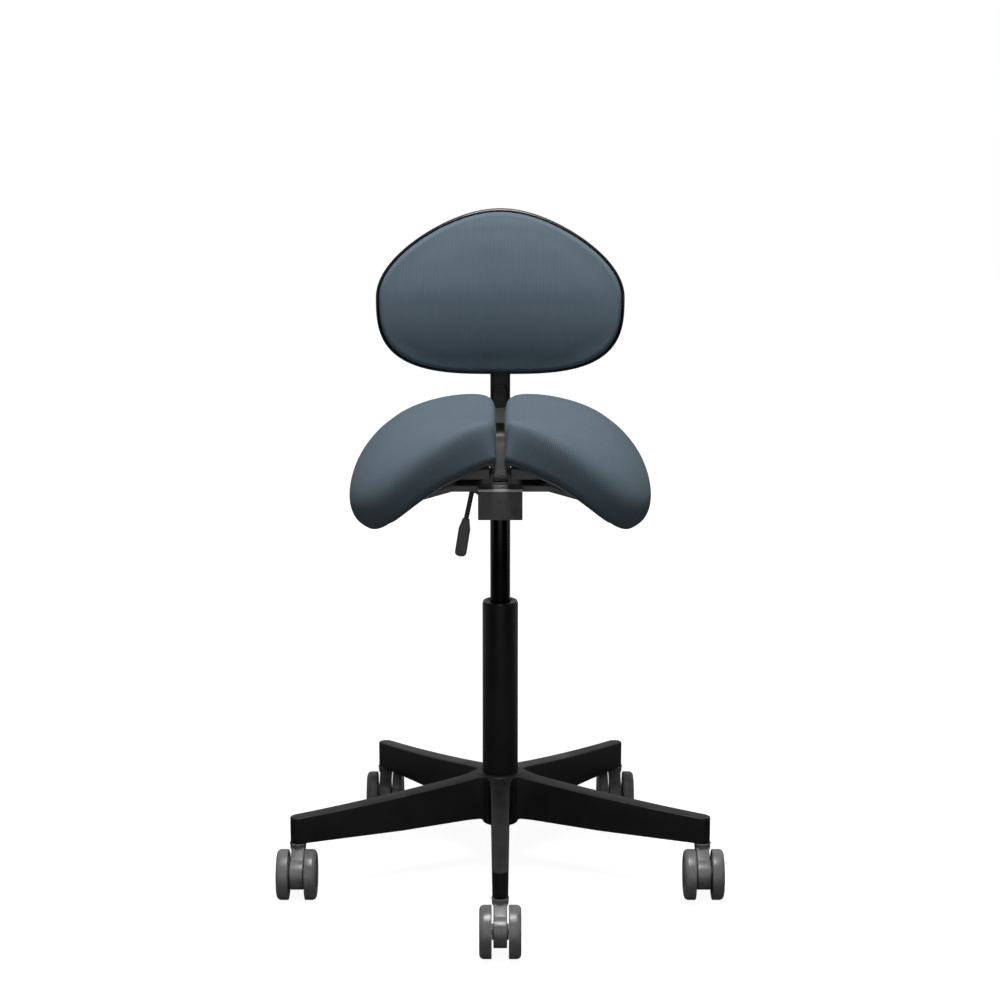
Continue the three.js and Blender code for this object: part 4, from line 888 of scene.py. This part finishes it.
print("corners of the plan reach", toward_outer.max().round(3), toward_rear.max().round(3))

# %% [markdown]
# Foam under a tight cover swells between the places where the cover is held. That is hard to
# draw and easy to simulate: a copy of the pad is remeshed into even squares, its underside is
# pinned, and pressure blows it up like a cushion for twenty frames. Each point may move only
# a few millimetres, and only outwards. The movement is then carried back to the fine pad as a
# smooth field along its normals, so the pad keeps its own faces and its cloth map.

# %% Swelling a pad
START_IN, VOXEL, PRESSURE, FRAMES, BATCH = 0.0004, 0.006, 4.0, 20, 1500


def near_average(places, known, values, radius):
    """Average of the known values round each place, weighted by exp(-d2 / 2 r2)."""
    result = np.empty((len(places), values.shape[1]))
    squares = (known ** 2).sum(1)
    for start in range(0, len(places), BATCH):
        part = places[start:start + BATCH]
        d2 = (part ** 2).sum(1)[:, None] + squares - 2 * part @ known.T
        weight = np.exp(-np.maximum(d2 - d2.min(1)[:, None], 0) / (2 * radius ** 2))
        result[start:start + BATCH] = weight @ values / weight.sum(1)[:, None]
    return result


def of_points(mesh, what="co"):
    """One triple for each point of a mesh: its place, or its normal."""
    flat = np.zeros(len(mesh.vertices) * 3)
    mesh.vertices.foreach_get(what, flat)
    return flat.reshape(-1, 3)


def swell(pad, held, cap):
    """Cloth with pressure on a remeshed copy. held is 1 for each fine point that stays put, and
    cap is the most that a point may move, in metres. Returns the largest movement."""
    normals = of_points(pad.data, "normal")
    tucked = of_points(pad.data) - normals * (START_IN * (1 - held))[:, None]
    trial_mesh = pad.data.copy()
    trial_mesh.vertices.foreach_set("co", tucked.ravel())
    trial = bpy.data.objects.new(pad.name + "_trial", trial_mesh)
    scene.collection.objects.link(trial)
    remesh = trial.modifiers.new("even", "REMESH")
    remesh.mode, remesh.voxel_size = "VOXEL", VOXEL
    graph = bpy.context.evaluated_depsgraph_get()
    even = bpy.data.meshes.new_from_object(trial.evaluated_get(graph))
    trial.modifiers.clear()
    trial.data = even
    before = of_points(even)
    still = near_average(before, tucked, held[:, None], VOXEL)[:, 0] > 0.5
    pins = trial.vertex_groups.new(name="held")
    pins.add(np.flatnonzero(still).tolist(), 1.0, "REPLACE")
    cover = trial.modifiers.new("cover", "CLOTH")
    settings = cover.settings
    settings.vertex_group_mass = "held"
    settings.use_pressure = True
    settings.uniform_pressure_force = PRESSURE
    settings.effector_weights.gravity = 0
    settings.quality = 5
    cover.collision_settings.use_collision = False
    cover.point_cache.frame_start, cover.point_cache.frame_end = 1, FRAMES
    for number in range(1, FRAMES + 1):
        scene.frame_set(number)
    after = of_points(trial.evaluated_get(bpy.context.evaluated_depsgraph_get()).to_mesh())
    scene.frame_set(1)
    moved = after - before
    size = np.linalg.norm(moved, axis=1)[:, None] + 1e-9
    moved *= np.tanh(size / cap) * cap / size
    bpy.data.objects.remove(trial)
    field = near_average(tucked, before, moved, VOXEL)
    outward = (field * normals).sum(1).clip(0) * (1 - held)
    pad.data.vertices.foreach_set("co", (tucked + normals * outward[:, None]).ravel())
    pad.data.update()
    return float(outward.max())


def lay_cloth(pad, coordinates_mm):
    """Store the cloth map: one pair of metres per face corner, taken from its point."""
    layer = pad.data.uv_layers.new(name=CLOTH_MAP)
    corner = np.zeros(len(pad.data.loops), np.int32)
    pad.data.loops.foreach_get("vertex_index", corner)
    layer.data.foreach_set("uv", (coordinates_mm[corner] * MM).ravel())


def refine(made):
    """One round of subdivision, the same on screen and in the render."""
    smooth = made.modifiers.new("smooth", "SUBSURF")
    smooth.levels = smooth.render_levels = 1


def staying(count, sides, free, fade):
    """How far each point is held, over count rings and two poles: 0 for the first free rings,
    then the steps of fade, then 1."""
    rows = np.concatenate([np.zeros(free), fade, np.ones(count - free - len(fade))])
    return np.concatenate([np.repeat(rows, sides), [0, 1]])


# %% [markdown]
# The two seat pads are mirror images. The rings run from a point in the middle of the top,
# out over the crown, round the edge, and back underneath. The cloth is held on the underside
# and on the flat inner face, where the two pads face each other.

# %% Seat pads
SEAT_SWELL, FACE_ROWS, EDGE_ROWS = 0.003, 22, 24


def outward_rows(face_rows, edge_rows, last_turn):
    """Shares and turns of the rings: first across the face, and then round the edge."""
    share = np.concatenate([np.linspace(0.06, 1, face_rows), np.ones(edge_rows)])
    turn = np.concatenate([np.zeros(face_rows), np.linspace(0.05, 1, edge_rows) * last_turn])
    return share, turn


def sheet_pole(depth):
    """The middle point of the sheet at a depth."""
    return bent_sheet(np.full(1, 0.5), np.full(1, 0.5), np.full(1, depth))


def mirrored(side, *parts):
    """The surface over rings and poles, for the left (1) or the right (-1)."""
    return skin(*(part * (side, 1, 1) for part in parts))


share, turn = outward_rows(FACE_ROWS, EDGE_ROWS, math.pi / 2)
top_rings, top_plan = pad_rows(share, turn, False)
under_rings, under_plan = pad_rows(share[:-1][::-1], turn[:-1][::-1], True)
pad_rings = np.concatenate([top_rings, under_rings])
pad_plan = np.concatenate([top_plan, under_plan])
middle_depth = float(pad_thickness(np.full(1, 0.5), 0.5)[0])
pole_plan = np.array([[between(SEAT_ARC, 0.5) * 0.5, (SEAT_FRONT + SEAT_REAR) / 2]] * 2)
pad_cloth = np.vstack([cloth_coordinates(pad_rings, pad_plan).reshape(-1, 2), pole_plan])
held = staying(len(pad_rings), SIDES, FACE_ROWS + EDGE_ROWS - 2, np.linspace(0.2, 1, 4))
on_inner_face = np.append(pad_rings[..., 0].ravel() < SEAT_GAP / 2 + 0.5, [False, False])
held = np.maximum(held, on_inner_face)

for name, side in BOTH_SIDES:
    shell = mirrored(side, pad_rings, sheet_pole(-CROWN), sheet_pole(middle_depth))
    pad = piece(f"seat_pad_{name}", [shell], "fabric", "seat_frame", f"seat_cushion_{name}", sharp=180)
    lay_cloth(pad, pad_cloth)
    most = swell(pad, held, SEAT_SWELL)
    refine(pad)
    print(pad.name, "points", len(pad.data.vertices), "most swell mm", round(most / MM, 2))

# %% [markdown]
# Under each pad lies a moulded tray, which the cover is pulled round and stapled to. Only its
# thin edge shows, as a fine line under the cloth. It follows the pad's underside like a second
# skin, four millimetres thick in the middle and tapering to a fine eased lip.

# %% Seat trays
TRAY_UPPER, TRAY_LOWER, TRAY_THINNED, LIP_OUT, LIP_SHARE = 0.3, 4.3, 0.7, 0.5, 0.15
TRAY_FACE, TRAY_EDGE = 14, 12
tray_rows = outward_rows(TRAY_FACE, TRAY_EDGE, math.asin(0.6))
taper = np.concatenate([np.linspace(0, 0.45, TRAY_FACE), np.linspace(0.5, 1, TRAY_EDGE)])
upper, _ = pad_rows(*tray_rows, True, TRAY_UPPER)
lower, _ = pad_rows(*tray_rows, True, TRAY_LOWER)
lower = lower + (upper - lower) * TRAY_THINNED * taper[:, None, None] ** 2
lip_out = upper[-1:] - upper[-2:-1]
lip_out *= LIP_OUT / np.linalg.norm(lip_out, axis=-1, keepdims=True)
lips = [upper[-1:] + (lower[-1:] - upper[-1:]) * t + lip_out for t in (LIP_SHARE, 1 - LIP_SHARE)]
tray_rings = np.concatenate([upper, *lips, lower[::-1]])
tray_poles = sheet_pole(middle_depth + TRAY_UPPER), sheet_pole(middle_depth + TRAY_LOWER)
for name, side in BOTH_SIDES:
    piece(f"seat_tray_{name}", [mirrored(side, tray_rings, *tray_poles)], "dark_plastic",
          "seat_frame", f"seat_shell_{name}", sharp=50)
print("tray rings", len(tray_rings))

# %% [markdown]
# The backrest is an egg, blunt below and drawn in above, dished round the sitter's back. Above
# its widest line the outline is a half ellipse whose width shrinks a little toward the top,
# and below it is a square with very round corners. Every point is then moved back or forward
# by its place: forward toward the sides, back toward the top and bottom.

# %% The dished egg
BACK_HALF, BACK_LEVEL, BACK_UP, BACK_DOWN = 178.6, 794.3, 124.4, 117.1
BACK_FACE, SIDE_RADIUS, RISE_RADIUS = 186.0, 600, 620
BLUNT_POWER, DRAWN_IN = 2.96, 0.235
back_angle = full_turn(SIDES)
is_upper = np.sin(back_angle) >= 0
blunt_x, blunt_z = square_points(back_angle, BLUNT_POWER)
drawn_in = np.cos(back_angle) * (1 - DRAWN_IN * np.sin(back_angle) ** 2)
egg_x = np.where(is_upper, drawn_in, blunt_x)
egg_z = np.where(is_upper, np.sin(back_angle), blunt_z)


def dish(x, rise, depth):
    """Depth behind the face, less x squared over twice the side radius, plus the same for rise."""
    y = BACK_FACE + depth - x ** 2 / (2 * SIDE_RADIUS) + rise ** 2 / (2 * RISE_RADIUS)
    return np.stack([x, y, BACK_LEVEL + rise], -1)


def dish_pole(depth):
    """The middle point of the dish at a depth."""
    return dish(np.zeros(1), np.zeros(1), np.full(1, float(depth)))


def egg_rows(rows):
    """Rows (inset, share, depth) to rings."""
    inset, share, depth = np.asarray(rows, float).T[:, :, None]
    x = (BACK_HALF - inset) * share * egg_x
    rise = (np.where(is_upper, BACK_UP, BACK_DOWN) - inset) * share * egg_z
    return dish(x, rise, depth + 0 * x), np.stack([x, rise], -1)


# %% [markdown]
# The back pad is held all round in the groove of its tray. Its cover is stretched over a slab
# of foam, so its face is a low crown that rolls over quickly at the rim. Seen from the side,
# the upper half is nearly straight and leans back, and the lower half curls under. That is
# why the light falls off so fast toward the bottom, and only there.

# %% Back pad
PAD_INSET, ROLL_R, BACK_CROWN, PAD_REAR, BACK_SWELL = 4.8, 7, 12, 30, 0.002
LEAN, LEAN_STARTS, LEAN_OVER, CURL = 0.22, 4, 22, 0.00185


def side_profile(rise):
    """Straight lean above, which starts over LEAN_OVER, and a round curl below."""
    up = np.maximum(rise - LEAN_STARTS, 0)
    lean = LEAN * (up - LEAN_OVER * (1 - np.exp(-up / LEAN_OVER)))
    return lean + CURL * np.minimum(rise - LEAN_STARTS, 0) ** 2


def crowned(rings, plan, share):
    """Swap the even crown's own side view for the profile, and fade the change out at the rim."""
    rise = plan[..., 1]
    reach = np.where(rise > 0, BACK_UP, BACK_DOWN) - (PAD_INSET + ROLL_R)
    even = BACK_CROWN * (rise / reach) ** 2 + rise ** 2 / (2 * RISE_RADIUS)
    change = side_profile(rise) - even
    fade = (1 - share ** 8)[:, None]
    return rings + (change * fade)[..., None] * np.array((0, 1, 0))


face = [(PAD_INSET + ROLL_R, s, BACK_CROWN * s * s) for s in np.linspace(0.05, 1, 24)[:-1]]
roll = [(PAD_INSET + ROLL_R * (1 - math.sin(a)), 1, BACK_CROWN + ROLL_R * (1 - math.cos(a)))
        for a in np.linspace(0, math.pi / 2, 9)]
wall = [(PAD_INSET, 1, d) for d in np.linspace(PAD_REAR - 10, PAD_REAR, 4)]
rear = [(PAD_INSET, s, PAD_REAR) for s in np.linspace(0.97, 0.08, 10)]
rings, plan = egg_rows(face + roll + wall + rear)
face_share = np.ones(len(rings))
face_share[:len(face)] = [row[1] for row in face]
rings = crowned(rings, plan, face_share)
back_cloth = np.vstack([cloth_coordinates(rings, plan).reshape(-1, 2), [[0, 0], [0, 0]]])
back_pad = piece("back_pad", [skin(rings, dish_pole(0), dish_pole(PAD_REAR))], "fabric",
                 "backrest", "backrest_cushion", sharp=180)
lay_cloth(back_pad, back_cloth)
held = staying(len(rings), SIDES, len(face + roll) - 3, np.linspace(0.4, 1, 3))
most = swell(back_pad, held, BACK_SWELL)
refine(back_pad)
print("back pad swell mm", round(most / MM, 2))

# %% [markdown]
# The tray of the backrest is a glossy black moulding. From the front only its rim shows, a
# thin rounded bead that carries one bright line of reflected light.

# %% Back tray
DISH_INSIDE, DISH_BACK = 30.3, 34.3
bead = [(inset, 1, depth) for inset, depth in (
    (4.5, DISH_INSIDE), (4.5, 27.5), (4.5, 23.2), (4.1, 22.0), (3.2, 21.35), (2.2, 21.3),
    (1.1, 21.8), (0.35, 23.0), (0, 24.8), (0.1, 27.5), (0.9, 30.3), (2.4, 32.6), (4.8, 34.0))]
inside = [(PAD_INSET, s, DISH_INSIDE) for s in np.linspace(0.08, 0.97, 14)]
outside = [(PAD_INSET, s, DISH_BACK) for s in np.linspace(0.985, 0.08, 16)]
rings, _ = egg_rows(inside + bead + outside)
piece("back_tray", [skin(rings, dish_pole(DISH_INSIDE), dish_pole(DISH_BACK))], "gloss_plastic",
      "backrest", "backrest_shell", sharp=60)
print("back tray rings", len(rings))

# %% [markdown]
# The folded and cut metal pieces already have the right shape in the engineering model: the
# housing, the cross plate, the brackets, the clamp, the bar and the channel. They lack only
# the small radius that a press or a file leaves on every edge. A copy of each is merged, its
# flat faces are joined up again, and a Bevel modifier rounds the edges. The housing is folded
# from sheet, so its front top edge is a wide bend, five times as round as its other edges.

# %% Eased copies of the metal pieces
SHARP_EDGE, FLAT_WITHIN, SAME_POINT = 30.0, 1.0, 1e-5


def eased(node, name, slot, body, width, finish=None, bend=1.0, segments=2):
    """A bevelled copy of a CAD node, which it then stands for. Its front top edge is rounded
    bend times as far as the others."""
    build = bmesh.new()
    build.from_mesh(nodes[node].data)
    bmesh.ops.remove_doubles(build, verts=build.verts, dist=SAME_POINT)
    bmesh.ops.dissolve_limit(build, angle_limit=math.radians(FLAT_WITHIN), verts=build.verts,
                             edges=build.edges)
    weight = build.edges.layers.float.new("bevel_weight_edge")
    top = max(v.co.z for v in build.verts)
    front = min(v.co.y for v in build.verts)
    for edge in build.edges:
        if edge.calc_face_angle(0.0) > math.radians(SHARP_EDGE):
            at_bend = all(v.co.z > top - 10 * SAME_POINT and v.co.y < front + 10 * SAME_POINT
                          for v in edge.verts)
            edge[weight] = 1.0 if at_bend else 1.0 / bend
    mesh = bpy.data.meshes.new(name)
    build.to_mesh(mesh)
    build.free()
    made = add(name, mesh, slot, body, node, SHARP_EDGE, finish)
    ease = made.modifiers.new("ease", "BEVEL")
    ease.width, ease.segments = width * bend, segments
    ease.limit_method = "WEIGHT"
    ease.harden_normals = True
    return made


for node_name, name, slot, body, width, *look in (
    ("mechanism_housing", "housing_sheet", "grey_paint", "seat_frame", 0.0006, "housing_paint", 5.0, 5),
    # The plate and the brackets take the paler grey: painted light.
    ("cross_plate", "cross_plate_sheet", "grey_paint", "seat_frame", 0.0007),
    ("seat_bracket_left", "bracket_sheet_left", "grey_paint", "seat_frame", 0.0006),
    ("seat_bracket_right", "bracket_sheet_right", "grey_paint", "seat_frame", 0.0006),
    ("bar_clamp", "clamp_casting", "cast_metal", "seat_frame", 0.0008),
    # The bar and the channel take the paler black paint: painted light.
    ("back_bar", "back_bar_steel", "black_paint", "back_bar", 0.0008, "bar_paint"),
    ("back_channel", "channel_sheet", "black_paint", "back_channel", 0.0005, "bar_paint"),
    ("channel_keeper", "keeper_block", "dark_plastic", "back_channel", 0.0005),
    ("backrest_bracket", "back_bracket_sheet", "black_paint", "backrest", 0.0007),
):
    made = eased(node_name, name, slot, body, width, *look)
    print(name, "faces", len(made.data.polygons))

# %% [markdown]
# The height lever is a bent steel rod with a moulded paddle pushed onto its end. The rod is a
# round section carried along a path. The paddle is a rounded rectangle whose width and
# thickness change down its length, from a narrow neck to a broad blade with a round tip.

# %% Height lever
LEVER_Z, KNEE, TIP = 551.0, np.array((-47.3, 0, 512.0)), np.array((-56.0, 0, 458.0))
ROD_STARTS, BEND_STARTS, BEND_CORNER = ((x, 0, LEVER_Z) for x in (2.0, -37.0, -39.0))
BEND_SHARE, KNEE_DROP, ROD_R, ROD_R_BELOW = 2 / 39, (0, 0, -0.3), 3.0, 3.4
BLADE_NECK, BLADE_SWELL, BLADE_THICK = 5.0, 3.2, 3.5
CROSSWAYS = np.array((0.0, 1.0, 0.0))


def along_path(points, radius, sides=24):
    """A round section carried along points, each turned square to the path. The path lies in
    a plane across Y, so the section's axes are Y and the path's own normal."""
    tangent = np.gradient(points, axis=0)
    tangent /= np.linalg.norm(tangent, axis=1)[:, None]
    angle = full_turn(sides)
    circle = np.stack([np.cos(angle), np.sin(angle)], -1)
    return block(radius[:, None, None] * circle, points, CROSSWAYS, np.cross(tangent, CROSSWAYS))


def line(start, end, steps):
    """Evenly spaced points from start to end."""
    t = np.linspace(0, 1, steps)[:, None]
    return np.asarray(start) * (1 - t) + np.asarray(end) * t


def tip_round(s, starts):
    """The end of a blade: the root of one minus a power of the share beyond starts."""
    return np.sqrt(np.clip(1 - np.clip((s - starts) / (1 - starts), 0, 1) ** 2.4, 0.0004, 1))


corner = np.array(BEND_CORNER)
bend_end = corner + (KNEE - corner) * BEND_SHARE
t = np.linspace(0, 1, 13)[:, None]
bend = (1 - t) ** 2 * BEND_STARTS + 2 * t * (1 - t) * corner + t ** 2 * bend_end
rod_path = np.vstack([line(ROD_STARTS, BEND_STARTS, 6)[:-1], bend,
                      line(bend_end, KNEE + KNEE_DROP, 6)[1:]])
rod_radius = np.where(rod_path[:, 2] < LEVER_Z - 1, ROD_R_BELOW, ROD_R)
# The rod takes the paler black paint: painted light.
piece("lever_steel", [along_path(rod_path, rod_radius)], "black_paint", "lever", "lever_rod",
      finish="bar_paint")

length = np.linalg.norm(TIP - KNEE)
down = (TIP - KNEE) / length
s = np.linspace(0, 1, 34)
half_wide = (BLADE_NECK + BLADE_SWELL * np.clip(s / 0.26, 0, 1) ** 1.2) * tip_round(s, 0.86)
half_thick = BLADE_THICK * tip_round(s, 0.9)
section = rounded_square(0.5, 6)[None] * np.stack([half_wide, half_thick], -1)[:, None]
centres = KNEE + KNEE_DROP + down * (s * length)[:, None]
paddle = block(section, centres, np.cross(CROSSWAYS, down), CROSSWAYS)
piece("lever_paddle", [paddle], "dark_plastic", "lever", "lever_grip", sharp=50)
print("lever length mm", round(length, 1))

# %% [markdown]
# Two rubber pucks carry the front of the brackets, two cap screws hold the clamp, and one pin
# carries the backrest. All are turned. The screws have a round recess in their heads, since
# the six flats of a real socket are too small to be seen from here.

# %% Pucks, screws and pin
PUCK_OUT, SCREW_OUT, SCREW_Y, PIVOT_Y, PIVOT_Z = 45.6, 19.5, -14, 250.8, 790
puck = rounded([(0, 567.3), (16.4, 567.3, 1.0), (17.5, 568.6, 0.8), (16.8, 572.1, 1.2),
                (17.5, 575.6, 0.8), (16.4, 577, 1.0), (0, 577)], steps=3, closed=False)
screw = rounded([(0, 558.6), (2.5, 558.6, 0.4), (2.5, 573.6, 0), (4, 573.6, 0.2), (4, 576.6, 0.5),
                 (2.6, 576.6, 0.15), (2.4, 575.0, 0), (0, 575.0)], steps=3, closed=False)
for name, side in BOTH_SIDES:
    piece(f"puck_{name}", [turned(puck, (side * PUCK_OUT, 0, 0))], "rubber", "seat_frame",
          f"rubber_puck_{name}")
    piece(f"cap_screw_{name}", [turned(screw, (side * SCREW_OUT, SCREW_Y, 0), sides=36)], "steel",
          "seat_frame", f"clamp_screw_{name}")
pin = rounded([(0, -21.3), (7.2, -21.3, 0), (8, -20.5, 0.5), (8, -18.3, 0.2), (5, -18.3, 0), (5, 18.3, 0),
               (8, 18.3, 0.2), (8, 20.5, 0.5), (7.2, 21.3, 0), (0, 21.3)], steps=3, closed=False)
piece("pivot_pin", [turned(pin, (0, PIVOT_Y, PIVOT_Z), "x", 48)], "steel", "back_channel",
      "tilt_pin")

# %% [markdown]
# A hand knob has six soft lobes so that fingers can turn it. Its outline is a circle whose
# radius dips six times, and that outline shrinks and rises along a rounded profile from the
# rim to the middle of its face.

# %% Hand knobs
KNOB_R, LOBE_DIP, KNOB_HIGH, STEM_R, RECESS = 15, 0.8, 16, 4, 13.76
STEM_END, SMOOTH_WITHIN, SMOOTH_R, FACE_LEVEL = 0.5, 0.66, 14.2, 0.96


def knob_shell(stem_length, place):
    """Outline radius R(angle) times a profile, drawn standing on z = 0 with its stem up, and
    then put in its place. Near the middle of the face the outline is a plain circle."""
    angle = full_turn(96)
    lobes = KNOB_R - LOBE_DIP * (1 - np.cos(6 * angle))
    profile = rounded([(0, 0.6), (0.72, 0.0, 0.1), (1, 0.0, 0.15), (1, 1, 0.2), (0.5, 1, 0.08),
                       (0.42, 0.86, 0), (0.3, 0.86, 0)], steps=5, closed=False)
    share = profile[:, :1]
    radius = np.where(share < SMOOTH_WITHIN, share * SMOOTH_R, share * lobes)
    top = KNOB_HIGH + stem_length
    stem = np.array([(STEM_R, RECESS), (STEM_R, top - STEM_END), (STEM_R - STEM_END, top)])
    rings = np.concatenate([spun(radius, profile[:, 1:] * KNOB_HIGH, angle)[1:],
                            spun(stem[:, :1], stem[:, 1:], angle)])
    return skin(*(place(np.asarray(q, float)) for q in (rings, (0, 0, FACE_LEVEL), (0, 0, top))))


def upright(q):
    """Under the clamp, with the stem up."""
    return q + (0, 66.0, 539.7)


def facing_back(q):
    """Behind the channel, with the stem forward."""
    return np.stack([q[..., 0], 274.1 - q[..., 2], q[..., 1] + 612.0], -1)


for name, stem_length, place in (("depth_knob", 14.3, upright), ("height_knob", 2.8, facing_back)):
    piece(f"{name}_lobed", [knob_shell(stem_length, place)], "dark_plastic", name, name, sharp=40)
print("knobs made")

# %% [markdown]
# The inner pieces stay as the engineering model has them: the stems and axles of the casters,
# and the bearing, rod, clip, piston, pin and bushing of the lift. They hardly show, but each
# still gets its own finish in place of a plain colour.

# %% Finishes of the inner pieces
slots = {s["node"]: s["material_slot"] for s in frame["record"]["subparts"]}
kept = [n for n, o in nodes.items() if not o.hide_render]
for name in kept:
    data = nodes[name].data
    data.materials.clear()
    data.materials.append(finishes[slots[name]])
print("kept nodes", sorted(kept))
